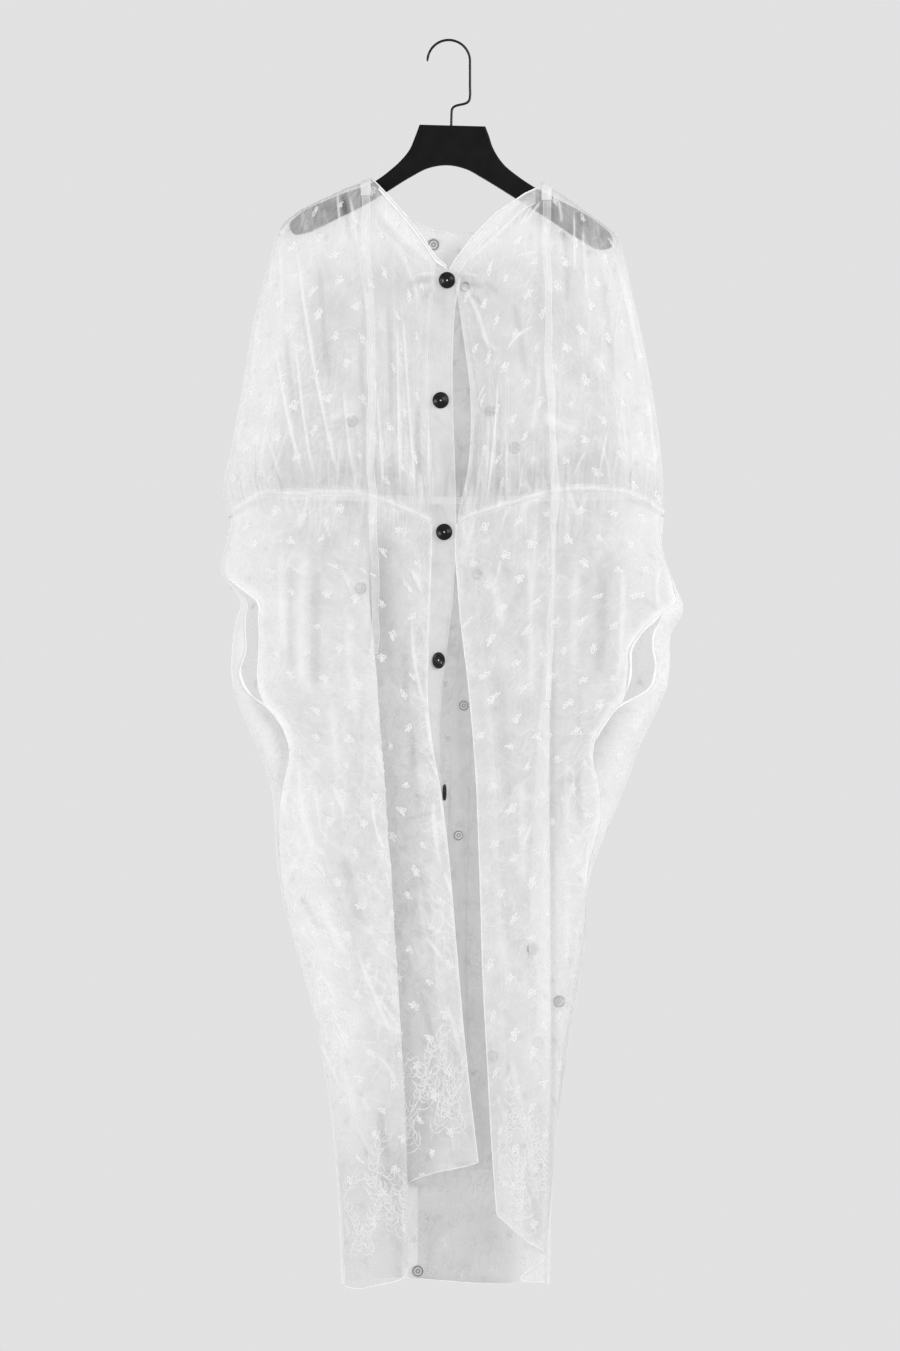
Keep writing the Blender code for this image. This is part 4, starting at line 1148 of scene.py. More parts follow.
# The same thread on the inside of the back: fainter, and painted darker as painted shade
FAINT_SHADED_THREAD = ThreadFinish("embroidery_inside", 0.90, 0.40)
SPRAY_THREAD = ThreadFinish("spray_thread", 0.97, 0.50)
ROLLED_EDGE = ThreadFinish("rolled_cloth_edge", 0.97, 1.4)
BUTTON = HardFinish("black_button", grey(0.003), grey(0.008), 0.26, 700.0, 0.00003, gloss=0.35)
BUTTON_PIN = HardFinish(
    "button_pin", grey(0.55, 0.01), grey(0.80), 0.28, 900.0, 0.00003, metallic=0.8
)
STUD = HardFinish(
    "grey_stud", grey(0.20, 0.002), grey(0.36, 0.005), 0.42, 800.0, 0.00004, metallic=0.2
)
STUD_PLATE = HardFinish("pale_stud_plate", grey(0.62, 0.005), grey(0.74), 0.6, 800.0, 0.00004)
HANGER_COAT = HardFinish(
    "satin_black_hanger", grey(0.004), grey(0.008), 0.5, 520.0, 0.00006, gloss=0.12
)
WIRE = HardFinish("black_wire", grey(0.008), grey(0.02), 0.32, 900.0, 0.00003, metallic=0.5)


@dataclass
class Dresser:
    """Makes meshes and objects, and gives each its finish, body and stand-in."""

    finishes: dict[str, bpy.types.Material] = field(default_factory=dict)

    def finish(self, wanted: Finish) -> bpy.types.Material:
        """The finish's material, made once.

        Args:
            wanted: The finish.

        Returns:
            The material.
        """
        if wanted.name not in self.finishes:
            self.finishes[wanted.name] = wanted.make()
        return self.finishes[wanted.name]

    def mesh(self, name: str, points: Array, faces: list[Array]) -> bpy.types.Mesh:
        """Mesh of points in millimetres.

        Args:
            name: Its name.
            points: One row of three numbers a point.
            faces: Arrays of corner numbers, one array for each number of corners.

        Returns:
            The mesh, in metres and smooth.
        """
        mesh = bpy.data.meshes.new(name)
        mesh.vertices.add(len(points))
        mesh.vertices.foreach_set("co", (points * MM).astype(np.float32).ravel())
        corners = np.concatenate([group.ravel() for group in faces]).astype(np.int32)
        sizes = np.concatenate([np.full(len(group), group.shape[1]) for group in faces])
        mesh.loops.add(len(corners))
        mesh.loops.foreach_set("vertex_index", corners)
        mesh.polygons.add(len(sizes))
        mesh.polygons.foreach_set("loop_start", np.concatenate([[0], np.cumsum(sizes)[:-1]]))
        mesh.update(calc_edges=True)
        mesh.validate()
        mesh.shade_smooth()
        return mesh

    def piece(
        self,
        name: str,
        mesh: bpy.types.Mesh,
        finish: Finish,
        slot: str,
        stands_for: tuple[str, ...] = (),
    ) -> bpy.types.Object:
        """Object on the dress's one body.

        Args:
            name: Its name.
            mesh: Its mesh, at its place.
            finish: What it is made of.
            slot: Not used.
            stands_for: Plain solids that it takes the place of.

        Returns:
            The object.
        """
        made = bpy.data.objects.new(name, mesh)
        bpy.context.scene.collection.objects.link(made)
        mesh.materials.append(self.finish(finish))
        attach(made, "root")
        if stands_for:
            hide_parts(*stands_for)
        LOG.info("%s: %d faces of %s", name, len(mesh.polygons), finish.name)
        return made

    def carry(self, mesh: bpy.types.Mesh, uv: Array, marks: dict[str, Array]) -> None:
        """Give a mesh its place on the cloth in metres and its marks.

        Args:
            mesh: The mesh.
            uv: Place on the cloth in millimetres, two numbers a point.
            marks: Numbers by name, one a point.
        """
        corners = np.zeros(len(mesh.loops), np.int32)
        mesh.loops.foreach_get("vertex_index", corners)
        spread = mesh.uv_layers.new(name=CLOTH_UV)
        spread.data.foreach_set("uv", (uv[corners] * MM).astype(np.float32).ravel())
        for name, values in marks.items():
            mark = mesh.attributes.new(name, "FLOAT", "POINT")
            mark.data.foreach_set("value", values.astype(np.float32).ravel())

    def cloth(
        self,
        name: str,
        panel: Panel,
        finish: ClothFinish,
        slot: str,
        stands_for: tuple[str, ...],
        marks: dict[str, Array] | None = None,
    ) -> bpy.types.Object:
        """Object of a panel of cloth.

        Args:
            name: Its name.
            panel: Its surface.
            finish: What it is made of.
            slot: Handed on to piece, which does not use it.
            stands_for: Plain solids that it takes the place of.
            marks: Numbers at each grid point by name, one layer everywhere if left out.

        Returns:
            The object.
        """
        rows, columns, _ = panel.points.shape
        faces = grid_faces(rows, columns, panel.outward < 0)
        mesh = self.mesh(name, panel.points.reshape(-1, 3), [faces])
        uv = np.stack([panel.across, panel.down], axis=-1).reshape(-1, 2)
        self.carry(mesh, uv, marks or {LAYERS: np.ones((rows, columns))})
        return self.piece(name, mesh, finish, slot, stands_for)

    def tube(self, name: str, path: Array, radius: Array | float, sides: int = 8) -> bpy.types.Mesh:
        """Closed tube along a path that stays off the Y direction.

        A ring is centre + radius (cos a * side + sin a * up), with side = path x Y.

        Args:
            name: Its name.
            path: Points in millimetres.
            radius: One radius, or one a point.
            sides: Corners of each ring.

        Returns:
            The mesh.
        """
        way = np.gradient(path, axis=0)
        way /= np.linalg.norm(way, axis=1, keepdims=True)
        side = np.cross(way, (0, 1, 0))
        side /= np.linalg.norm(side, axis=1, keepdims=True)
        up = np.cross(side, way)
        turns = np.linspace(0, 2 * math.pi, sides, endpoint=False)[:, None]
        wide = np.broadcast_to(radius, len(path))[:, None, None]
        ring = np.cos(turns) * side[:, None] + np.sin(turns) * up[:, None]
        index, _, walls = ring_faces(len(path), sides)
        caps = np.stack([index[0], index[-1][::-1]])
        return self.mesh(name, (path[:, None] + wide * ring).reshape(-1, 3), [walls, caps])

    def lathe(
        self, name: str, profile: Table, centre: Array, facing: Array, sides: int = 40
    ) -> bpy.types.Mesh:
        """Round part: a profile of (radius, height) turned about the line that it faces along.

        Args:
            name: Its name.
            profile: From the middle of the front over the rim to the middle of the back.
            centre: Middle of its back in millimetres.
            facing: Unit direction of its front.
            sides: Corners of each ring.

        Returns:
            The mesh.
        """
        rows = np.array(profile, float)
        rim = rows[1:-1, :, None, None]
        rings = centre + rim[:, 1] * facing + rim[:, 0] * spokes(facing, sides)
        poles = np.stack([centre + rows[0, 1] * facing, centre + rows[-1, 1] * facing])
        index, after, walls = ring_faces(len(rings), sides)
        front = len(rings) * sides
        fan_front = np.stack([np.full(sides, front), index[0], after[0]], axis=-1)
        fan_back = np.stack([np.full(sides, front + 1), after[-1], index[-1]], axis=-1)
        points = np.concatenate([rings.reshape(-1, 3), poles])
        return self.mesh(name, points, [walls, fan_front, fan_back])

    def ring(
        self, name: str, middle: float, thick: float, centre: Array, facing: Array, sides: int = 28
    ) -> bpy.types.Mesh:
        """Round wire bent to a circle: (middle + thick cos b) round the facing, thick sin b along.

        Args:
            name: Its name.
            middle: Radius of the circle in millimetres.
            thick: Radius of the wire.
            centre: Middle of the circle.
            facing: Unit direction of its axis.
            sides: Parts of the circle.

        Returns:
            The mesh.
        """
        wire_sides = 8
        turns = np.linspace(0, 2 * math.pi, wire_sides, endpoint=False)[:, None, None]
        reach = middle + thick * np.cos(turns)
        points = centre + reach * spokes(facing, sides) + thick * np.sin(turns) * facing
        index = np.arange(wire_sides * sides).reshape(wire_sides, sides)
        next_ring, next_side = np.roll(index, -1, axis=0), np.roll(index, -1, axis=1)
        corner = np.roll(next_ring, -1, axis=1)
        walls = np.stack([index, next_side, corner, next_ring], axis=-1).reshape(-1, 4)
        return self.mesh(name, points.reshape(-1, 3), [walls])


def opening_edges(side: Side, drop: Array) -> tuple[Array, Array]:
    """Edges of the back and of the front on the front side, which part at the arm opening.

    Args:
        side: Half of the dress.
        drop: Places down.

    Returns:
        x of the back's edge and x of the front's edge.
    """
    if side is Side.LEFT:
        back = left_side(drop) + left_wrap(drop)
        return back, back + np.maximum(left_gap(drop), LEAST_GAP)
    back = right_side(drop) - right_wrap(drop)
    return back, back - np.maximum(right_gap(drop), LEAST_GAP)


def crowded(even: Array) -> Array:
    """Shares that start close together: 0.55 (1 - cos) + 0.45 power 1.3."""
    return 0.55 * (1 - np.cos(math.pi / 2 * even)) + 0.45 * even**1.3


def both_crowded(even: Array) -> Array:
    """Shares that are closer together at both ends: 0.6 half cosine + 0.4 even."""
    return 0.3 * (1 - np.cos(math.pi * even)) + 0.4 * even


def bodice_shares(count: int) -> Array:
    """Shares down a bodice, closer at the shoulder: 0.35 (1 - cos) + 0.65 power 1.25."""
    even = np.linspace(0, 1, count)
    return (0.35 * (1 - np.cos(math.pi / 2 * even)) + 0.65 * even**1.25)[:, None]


def edge_layers(panel: Panel, first: float, last: float, hem: float) -> Array:
    """Layers at each grid point: more at the edges and where the cloth rounds the side.

    Args:
        panel: The cloth.
        first: Width of the allowance along the first column, in millimetres.
        last: The same along the last column.
        hem: Depth of the turned hem.

    Returns:
        1, with 0.35 more across each allowance, 0.8 more in a line along its edge, and up
        to 0.9 more at the side edge of the dress.
    """
    from_last = panel.across[:, -1:] - panel.across
    from_hem = panel.down[-1:] - panel.down
    total = np.ones(panel.across.shape)
    for distance, width in ((panel.across, first), (from_last, last), (from_hem, hem)):
        if width:
            total += 0.35 * ease((width - distance) / 2.0 + 0.5) + 0.8 * ease(1.2 - distance / 1.8)
    return total + 0.9 * (1 - edge_round(panel.x, panel.drop)) ** 2


def folded_edges(panel: Panel, more: float, reach: float = 2.2) -> Array:
    """Layers of a strip whose long edges are folded: 1, and more within a reach of each edge."""
    from_edge = np.minimum(panel.across, panel.across[:, -1:] - panel.across)
    return 1 + more * ease(1.3 - from_edge / reach)


def strands(panel: Panel) -> Array:
    """Place across in metres that stays the same down each column."""
    return np.broadcast_to(panel.across.mean(axis=0) * MM, panel.across.shape)


def painted_valley_shade(relief: Array, depth: float) -> Array:
    """Painted shade of a trough: 0 at the cloth's level, 1 at a depth."""
    return np.clip(-relief / depth, 0, 1)


def doubled(relief: Array, height: float) -> Array:
    """Extra layers where a crease is pinched: none at the cloth's level, one at a height."""
    return np.clip(relief / height, -0.12, 1.3)


@dataclass
class ClothPiece:
    """A cut piece of the dress: its panel, its layers and what lies on it."""

    name: str
    panel: Panel
    marks: dict[str, Array]
    flat: tuple[float, float]
    made: bpy.types.Object | None = None
    attached: list[bpy.types.Object] = field(default_factory=list)


@dataclass
class BodiceFront:
    """Half of the bodice in front, from the shoulder and neck down to the waist seam."""

    side: Side
    rows: int = 200
    shoulder_columns: int = 150
    neck_columns: int = 90
    allowance: float = 9.0
    shoulder_turn: float = 6.0
    least_layers: float = 0.6

    def __post_init__(self) -> None:
        """Take this side's lines and tables."""
        self.left = self.side is Side.LEFT
        if self.left:
            self.top = LEFT_SHOULDER, LEFT_NECK
            self.outer, self.inner, self.gap = left_side, left_centre, -SEAM_GAP
            self.waist, self.gathers, self.pleats = left_waist, LEFT_GATHERS, LEFT_PLEATS
            self.creases = LEFT_BODICE_CREASES
        else:
            self.top = RIGHT_SHOULDER[::-1], RIGHT_NECK
            self.outer, self.inner, self.gap = right_side, right_centre, 0.0
            self.waist, self.gathers, self.pleats = right_waist, RIGHT_GATHERS, RIGHT_PLEATS
            self.creases = RIGHT_BODICE_CREASES

    def top_line(self, share: Array) -> tuple[Array, Array]:
        """x and drop along the shoulder and then along the neck.

        Args:
            share: Shares of the columns, NECK_SHARE at the neck point.

        Returns:
            Places across and places down.
        """
        shoulder_x, shoulder_d = along(self.top[0], np.clip(share / NECK_SHARE, 0, 1))
        on_neck = np.clip((share - NECK_SHARE) / (1 - NECK_SHARE), 0, 1)
        neck_x, neck_d = along(self.top[1], on_neck)
        past = share > NECK_SHARE
        return np.where(past, neck_x, shoulder_x), np.where(past, neck_d, shoulder_d)

    def panel(self) -> Panel:
        """Surface: the top line and the waist line joined by straight runs, then pushed out to
        the side edge by a cubic and in to the centre edge by a fifth power, at the drape's depth.

        Returns:
            The smooth cloth.
        """
        outer_part = NECK_SHARE * crowded(np.linspace(0, 1, self.shoulder_columns))
        neck_part = NECK_SHARE + (1 - NECK_SHARE) * np.linspace(0, 1, self.neck_columns)[1:]
        share = np.concatenate([outer_part, neck_part])
        top_x, top_d = self.top_line(share)
        start, stop = float(self.outer(WAIST_DROP)), float(self.inner(WAIST_DROP)) + self.gap
        low_x = start + share * (stop - start)
        for _ in range(4):
            low_d = self.waist(low_x) - WAIST_BAND_HEIGHT / 2 - SEAM_GAP
            low_x = low_x + (self.outer(low_d[:1]) - low_x[0]) * (1 - share) ** 3
        down = bodice_shares(self.rows)
        x = (1 - down) * top_x + down * low_x
        drop = (1 - down) * top_d + down * low_d
        at_side = self.outer(drop[:, :1]) - x[:, :1]
        at_centre = self.inner(drop[:, -1:]) + self.gap - x[:, -1:]
        x = x + at_side * (1 - share) ** 3 + at_centre * share**5
        points = np.stack([x, -self.depth(x, drop), -drop], axis=-1)
        return Panel(points, -1.0 if self.left else 1.0)

    def depth(self, x: Array, drop: Array) -> Array:
        """Depth in front of the hanger's plane: the full depth with gathers and pleats, rounded
        off at the side and the shoulder.

        Args:
            x: Places across.
            drop: Places down.

        Returns:
            Depths.
        """
        full = front_depth(drop) + (front_bias(x) if self.left else 0)
        full = full + ridges(x, drop, self.gathers, self.waist(x))
        full = full + ridges(x, drop, self.pleats, shoulder_drop(x))
        return HALF_SEAM + (full - HALF_SEAM) * edge_round(x, drop)

    def crease(self, panel: Panel) -> tuple[Array, Array]:
        """Listed creases, fine gathers at the waist, and the crumple of worn cloth.

        Args:
            panel: The smooth cloth, which is creased.

        Returns:
            The extra layers that the creases pinch, and the painted shade of the troughs.
        """
        x, drop = panel.x, panel.drop
        waist = self.waist(x)
        relief = crease_relief(x, drop, self.creases)
        # Painted shade in the troughs of the creases
        shade = 0.34 * painted_valley_shade(relief, 1.3)
        extra = 2.2 * doubled(crease_relief(x, drop, self.creases, 0.5), 1.5)
        leaning = x - (0.16 if self.left else -0.10) * (drop - waist) * ease(np.abs(x) / 160)
        near_waist = 1 - ease((waist - drop) / 95)
        fine = soft_noise(leaning / 5.0, drop / 75, 31 if self.left else 37)
        gathers = near_waist * (1 - np.abs(fine)) ** 3 * 1.9
        extra += 0.6 * doubled(gathers, 2.4)
        broad, small = Crumple(1.3, 15, 85, 0.10, 41), Crumple(0.6, 9, 30, -0.35, 47, 7)
        if self.left:
            broad, small = replace(broad, lean=-0.14), replace(small, lean=0.35)
        broad, small = broad.relief(x, drop), small.relief(x, drop)
        extra += 0.4 * doubled(broad, 1.3) + 0.3 * doubled(small, 0.7)
        relief += gathers + broad + small + cloth_grain(x, drop, 53)
        panel.relieve(relief * edge_round(x, drop))
        return extra, shade

    def build(self) -> ClothPiece:
        """The creased piece with its layers.

        Returns:
            The piece.
        """
        panel = self.panel()
        x, drop, flat = panel.x, panel.drop, panel.cut_size()
        layers = edge_layers(panel, self.allowance, self.shoulder_turn, 0.0)
        above_waist = self.waist(x) - drop
        gather = 1 - ease(above_waist / 230) + 0.35 * (1 - ease((drop - 165) / 160))
        crumple = 0.18 + 0.3 * ease((-x - 150) / 60) * ease((drop - 300) / 80)
        # Painted shade in a band just above the waist seam; the troughs' painted shade is added to
        # it
        seam_shade = 0.22 * np.exp(-(((above_waist - 18) / 22) ** 2))
        extra, troughs = self.crease(panel)
        marks = {
            LAYERS: np.maximum(layers + extra, self.least_layers), STRAND: strands(panel),
            GATHER: gather, CRUMPLE: crumple, PAINTED_SHADE: seam_shade + troughs,
        }
        return ClothPiece(f"bodice_front_{self.side.value}", panel, marks, flat)


def from_sides(x: Array, drop: Array) -> Array:
    """Distance from the nearer side edge."""
    return np.minimum(x - left_side(drop), right_side(drop) - x)


def painted_shade_inside(x: Array, drop: Array) -> Array:
    """Painted shade of the back, which lies behind the front: nothing within a hand of the sides,
    most in the middle.
    """
    return 0.92 * ease((from_sides(x, drop) - 20) / 60)


@dataclass
class BodiceBack:
    """The whole back of the bodice."""

    rows: int = 150
    columns: int = 230
    neck_start: float = 0.30
    neck_stop: float = 0.68
    allowance: float = 9.0
    crumple: float = 0.3

    def panel(self) -> Panel:
        """Surface: the shoulder and neck line joined to the waist line by straight runs, pushed
        out to both side edges by cubics, at the back's depth.

        Returns:
            The smooth cloth.
        """
        share = both_crowded(np.linspace(0, 1, self.columns))
        pieces = (
            (0.0, self.neck_start, LEFT_SHOULDER), (self.neck_start, self.neck_stop, BACK_NECK),
            (self.neck_stop, 1.0, RIGHT_SHOULDER),
        )
        top_x, top_d = np.zeros(self.columns), np.zeros(self.columns)
        for start, stop, table in pieces:
            inside = (share >= start) & (share <= stop)
            top_x[inside], top_d[inside] = along(table, (share[inside] - start) / (stop - start))
        left, right = float(left_side(WAIST_DROP)), float(right_side(WAIST_DROP))
        low_x = left + share * (right - left)
        for _ in range(4):
            low_d = back_waist(low_x) - WAIST_BAND_HEIGHT / 2 - SEAM_GAP
            low_x = low_x + (left_side(low_d[:1]) - low_x[0]) * (1 - share) ** 3
            low_x = low_x + (right_side(low_d[-1:]) - low_x[-1]) * share**3
        down = bodice_shares(self.rows)
        x = (1 - down) * top_x + down * low_x
        drop = (1 - down) * top_d + down * low_d
        x = x + (left_side(drop[:, :1]) - x[:, :1]) * (1 - share) ** 3
        x = x + (right_side(drop[:, -1:]) - x[:, -1:]) * share**3
        full = back_depth(drop) + ridges(x, drop, BACK_GATHERS, back_waist(x))
        y = HALF_SEAM + (full - HALF_SEAM) * edge_round(x, drop)
        return Panel(np.stack([x, y, -drop], axis=-1), 1.0)

    def build(self) -> ClothPiece:
        """The creased piece with its layers.

        Returns:
            The piece.
        """
        panel = self.panel()
        x, drop, flat = panel.x, panel.drop, panel.cut_size()
        layers = edge_layers(panel, self.allowance, self.allowance, 0.0)
        near_waist = 1 - ease((back_waist(x) - drop) / 110)
        gathers = 1.9 * near_waist * (1 - np.abs(soft_noise(x / 6.0, drop / 80, 61))) ** 3
        broad = Crumple(1.6, 20, 100, 0.05, 67, 4).relief(x, drop)
        small = Crumple(0.9, 11, 34, -0.4, 71, 7).relief(x, drop)
        layers += doubled(gathers, 2.4) + 0.7 * doubled(broad, 1.4) + 0.5 * doubled(small, 0.8)
        relief = gathers + broad + small + cloth_grain(x, drop, 73)
        panel.relieve(relief * edge_round(x, drop))
        # The back carries painted shade, as it lies behind the front, less towards the neck
        marks = {
            LAYERS: layers, STRAND: strands(panel), GATHER: near_waist,
            CRUMPLE: np.full(x.shape, self.crumple),
            PAINTED_SHADE: painted_shade_inside(x, drop) * ease((drop - 230) / 60),
        }
        return ClothPiece("bodice_back", panel, marks, flat)


@dataclass
class SkirtFront:
    """Half of the skirt in front, with the big fold that hangs down it."""

    side: Side
    rows: int = 336
    columns: int = 240
    hem_turn: float = 9.0
    allowance: float = 8.0
    rim_layers: float = 2.2
    least_layers: float = 0.5

    def __post_init__(self) -> None:
        """Take this side's tables, and each column's share and place in the fold."""
        self.left = self.side is Side.LEFT
        table = LEFT_FOLD if self.left else RIGHT_FOLD
        self.edge, self.bend, self.rise = (column(table, index) for index in (1, 2, 3))
        self.hem = column(LEFT_HEM if self.left else RIGHT_HEM, 1)
        if self.left:
            self.spread, self.first, self.last = 14.0, 7 / 21, 16 / 21
            self.front_layers, self.recess = 0.35, 0.15
            self.waist, self.inner, self.inner_gap = left_waist, left_centre, -SEAM_GAP
            self.creases = LEFT_SKIRT_CREASES, LEFT_CENTRE_SKIRT_CREASES
            self.lean, self.crumple = -0.55, 1.35
            self.centre_turn = 3.0
        else:
            self.spread, self.first, self.last = 7.0, 6 / 20, 15 / 20
            self.front_layers, self.recess = 0.0, 0.0
            self.waist, self.inner, self.inner_gap = right_waist, right_centre, 0.0
            self.creases = RIGHT_SIDE_SKIRT_CREASES, RIGHT_SKIRT_CREASES
            self.lean, self.crumple = 0.30, 0.75
            self.centre_turn = 24.0
        self.share = np.linspace(0, 1, self.columns)
        self.into_fold = (self.share - self.first) / (self.last - self.first)
        turn = np.clip(self.into_fold, 0, 1) * 2 - 1
        self.turn = turn if self.left else -turn

    def section(self, drop: Array) -> tuple[Array, Array]:
        """x across a drop, and the share of the way from the fold's front layer to its rear one.

        In the fold, x = middle + spread * turn - bend * sin(pi * turn): the cloth runs to the
        fold's edge, back to its inner crease and on again. Beside it, x runs on to each edge.

        Args:
            drop: Places down.

        Returns:
            Places across, and shares from 0 in front to 1 behind.
        """
        edge, bend = self.edge(drop), self.bend(drop)
        middle = edge + self.spread / 2 - bend
        fold = middle + self.spread * self.turn - bend * np.sin(math.pi * self.turn)
        outer = opening_edges(self.side, drop)[1]
        inwards = crowded(np.clip(self.share / self.first, 0, 1))
        onwards = np.clip((self.share - self.last) / (1 - self.last), 0, 1)
        side_x = outer + inwards * (fold - outer)
        centre_x = fold + onwards * (self.inner(drop) + self.inner_gap - fold)
        beyond = np.where(self.share > self.last, centre_x, fold)
        x = np.where(self.share < self.first, side_x, beyond)
        return x, ease((self.turn + 1) / 2) * 0.5 + (self.turn + 1) / 4

    def panel(self) -> Panel:
        """Surface: that section at each drop between the waist and the hem, at its depth.

        Returns:
            The smooth cloth.
        """
        top = np.full(self.columns, SKIRT_TOP)
        for _ in range(5):
            top = self.waist(self.section(top)[0]) + WAIST_BAND_HEIGHT / 2 + SKIRT_GAP
        down = np.linspace(0, 1, self.rows)[:, None]
        drop = top + down * (self.hem(self.share) - top)
        x, part = self.section(drop)
        full = front_depth(drop) + self.rise(drop) * (1 - part)
        full = full + (front_bias(x) * part if self.left else -part * right_recess(drop))
        soft = 1.6 * np.sin(x / 17 + drop / 210) * ease((drop - 600) / 300)
        full = full + soft * (1 - ease(self.into_fold * 6))
        y = -(HALF_SEAM + (full - HALF_SEAM) * edge_round(x, drop))
        return Panel(np.stack([x, y, -drop], axis=-1), -1.0 if self.left else 1.0)

    def hand_creases(self, x: Array, drop: Array, narrow: float = 1.0) -> Array:
        """Listed creases: one table's on the side part, one's on the centre part.

        Args:
            x: Places across.
            drop: Places down.
            narrow: Factor of the widths.

        Returns:
            Heights.
        """
        side_part, centre_part = 1 - ease(self.into_fold * 3 - 0.6), ease(self.into_fold * 3 - 1.4)
        relief = side_part * crease_relief(x, drop, self.creases[0], narrow)
        return relief + centre_part * crease_relief(x, drop, self.creases[1], narrow)

    def crease(self, panel: Panel) -> tuple[Array, Array]:
        """Listed creases, the crumple, less of it low down, and waves of the hem.

        Args:
            panel: The smooth cloth, which is creased.

        Returns:
            The extra layers of the creases and of the fold, and the painted shade of the troughs.
        """
        x, drop = panel.x, panel.drop
        relief = self.hand_creases(x, drop)
        # Painted shade in the troughs of the creases
        shade = 0.30 * painted_valley_shade(relief, 1.3)
        extra = 2.2 * doubled(self.hand_creases(x, drop, 0.6), 1.4)
        cloth_x = panel.across - panel.across[:, -1:]
        height = self.crumple * (1 - 0.75 * ease((drop - 1190) / 90))
        short = Crumple(height, 14, 34, self.lean, 83, 8).relief(cloth_x, drop)
        tiny = Crumple(height * 0.6, 8, 19, -0.7 * self.lean, 97, 8).relief(cloth_x, drop)
        long = Crumple(height * 0.8, 26, 120, -0.10, 89, 4).relief(cloth_x, drop)
        extra += 0.6 * doubled(short, 1.2) + 0.45 * doubled(tiny, 0.8) + 0.35 * doubled(long, 1.3)
        relief += short + tiny + long + cloth_grain(cloth_x, drop, 101)
        at_hem = 1 - ease((panel.down[-1:] - panel.down) / HEM_WAVE_REACH)
        relief += 1.3 * at_hem * soft_noise(cloth_x / 14, drop / 60, 103)
        panel.relieve(relief * edge_round(x, drop) * ease((drop - self.waist(x)) / 14))
        return extra + self.fold_layers(x, drop), shade

    def fold_layers(self, x: Array, drop: Array) -> Array:
        """Extra layers round the fold.

        The edge is where spread = pi * bend * cos(pi * turn). There are more layers in a
        line on it and in front of it, and fewer where the cloth is drawn back behind it.

        Args:
            x: Places across.
            drop: Places down.

        Returns:
            Layers to add.
        """
        at_edge = -np.arccos(np.clip(self.spread / (math.pi * self.bend(drop)), 0, 1)) / math.pi
        crisp = np.exp(-(((self.turn - at_edge) / 0.045) ** 2))
        in_front = 1 - ease((self.turn - at_edge) / 0.15)
        behind = ease((self.turn - 0.3) / 0.4) * (1 - ease((x - self.edge(drop)) / 46))
        layers = 2.2 * crisp + self.front_layers * in_front - self.recess * behind
        return ease((drop - 590) / 120) * layers

    def shades(self, panel: Panel) -> tuple[Array, Array]:
        """Where the cloth is crumpled, and where shade is painted into its colour.

        The left front is crumpled low down on its side part, along its centre edge and at the arm
        hole, and has painted shade in the recess behind its fold. The right front is crumpled at
        its side, and has a painted shadow in a line beside its fold. Both have a little painted
        shade, darker towards the hem.

        Args:
            panel: The smooth cloth.

        Returns:
            Shares of the full crumple, and painted shades.
        """
        x, drop = panel.x, panel.drop
        from_edge = x - self.edge(drop)
        # Painted shade, darker towards the hem
        shade = 0.16 * ease((drop - 1150) / 150)
        if not self.left:
            crumpled = ease((x - 130) / 20) * ease((drop - 740) / 80)
            # Painted shadow in a line beside the fold
            beside = np.exp(-(((from_edge - 3) / 4) ** 2)) * (self.share < self.first)
            shade = shade * (self.share > self.first)
            return crumpled, shade + 0.35 * beside * ease((drop - 600) / 80)
        on_side = 1 - ease((from_edge + 10) / 20)
        low_down = ease((drop - 800) / 120) * (1 - ease((drop - 1190) / 90))
        at_centre = 1 - ease((self.inner(drop) - x) / 34)
        half_way = ease((drop - 640) / 80) * (1 - ease((drop - 1000) / 200))
        crumpled = (0.55 + 0.6 * on_side) * low_down + 0.8 * at_centre * half_way
        crumpled = crumpled + 0.5 * (1 - ease(panel.across / 60)) * ease((drop - 770) / 50)
        # Painted shade in the recess behind the fold
        recess = 0.5 * ease((self.turn - 0.3) / 0.4) * (1 - ease((from_edge - 12) / 40))
        recess = recess * ease((drop - 560) / 60) * (1 + 0.7 * (1 - ease((drop - 690) / 110)))
        # More painted shade low down on the side part, near the hem
        return crumpled, shade + 0.26 * on_side * ease((drop - 1290) / 70) + recess

    def build(self) -> ClothPiece:
        """The creased piece with its layers.

        Returns:
            The piece.
        """
        panel = self.panel()
        drop, flat = panel.drop, panel.cut_size()
        layers = edge_layers(panel, self.allowance, self.centre_turn, self.hem_turn)
        crumpled, shade = self.shades(panel)
        gather = 0.5 * (1 - ease((drop - self.waist(panel.x)) / 150))
        extra, troughs = self.crease(panel)
        rim = np.exp(-((panel.across / 6.0) ** 2)) * ease((drop - 620) / 40)
        layers = layers + extra + self.rim_layers * rim * (1 - ease((drop - 900) / 160))
        # The marks carry the painted shade of the fold, the hem and the troughs
        marks = {
            LAYERS: np.maximum(layers, self.least_layers), STRAND: strands(panel),
            GATHER: gather, CRUMPLE: 0.20 + 0.42 * crumpled, PAINTED_SHADE: shade + troughs,
        }
        return ClothPiece(f"skirt_front_{self.side.value}", panel, marks, flat)


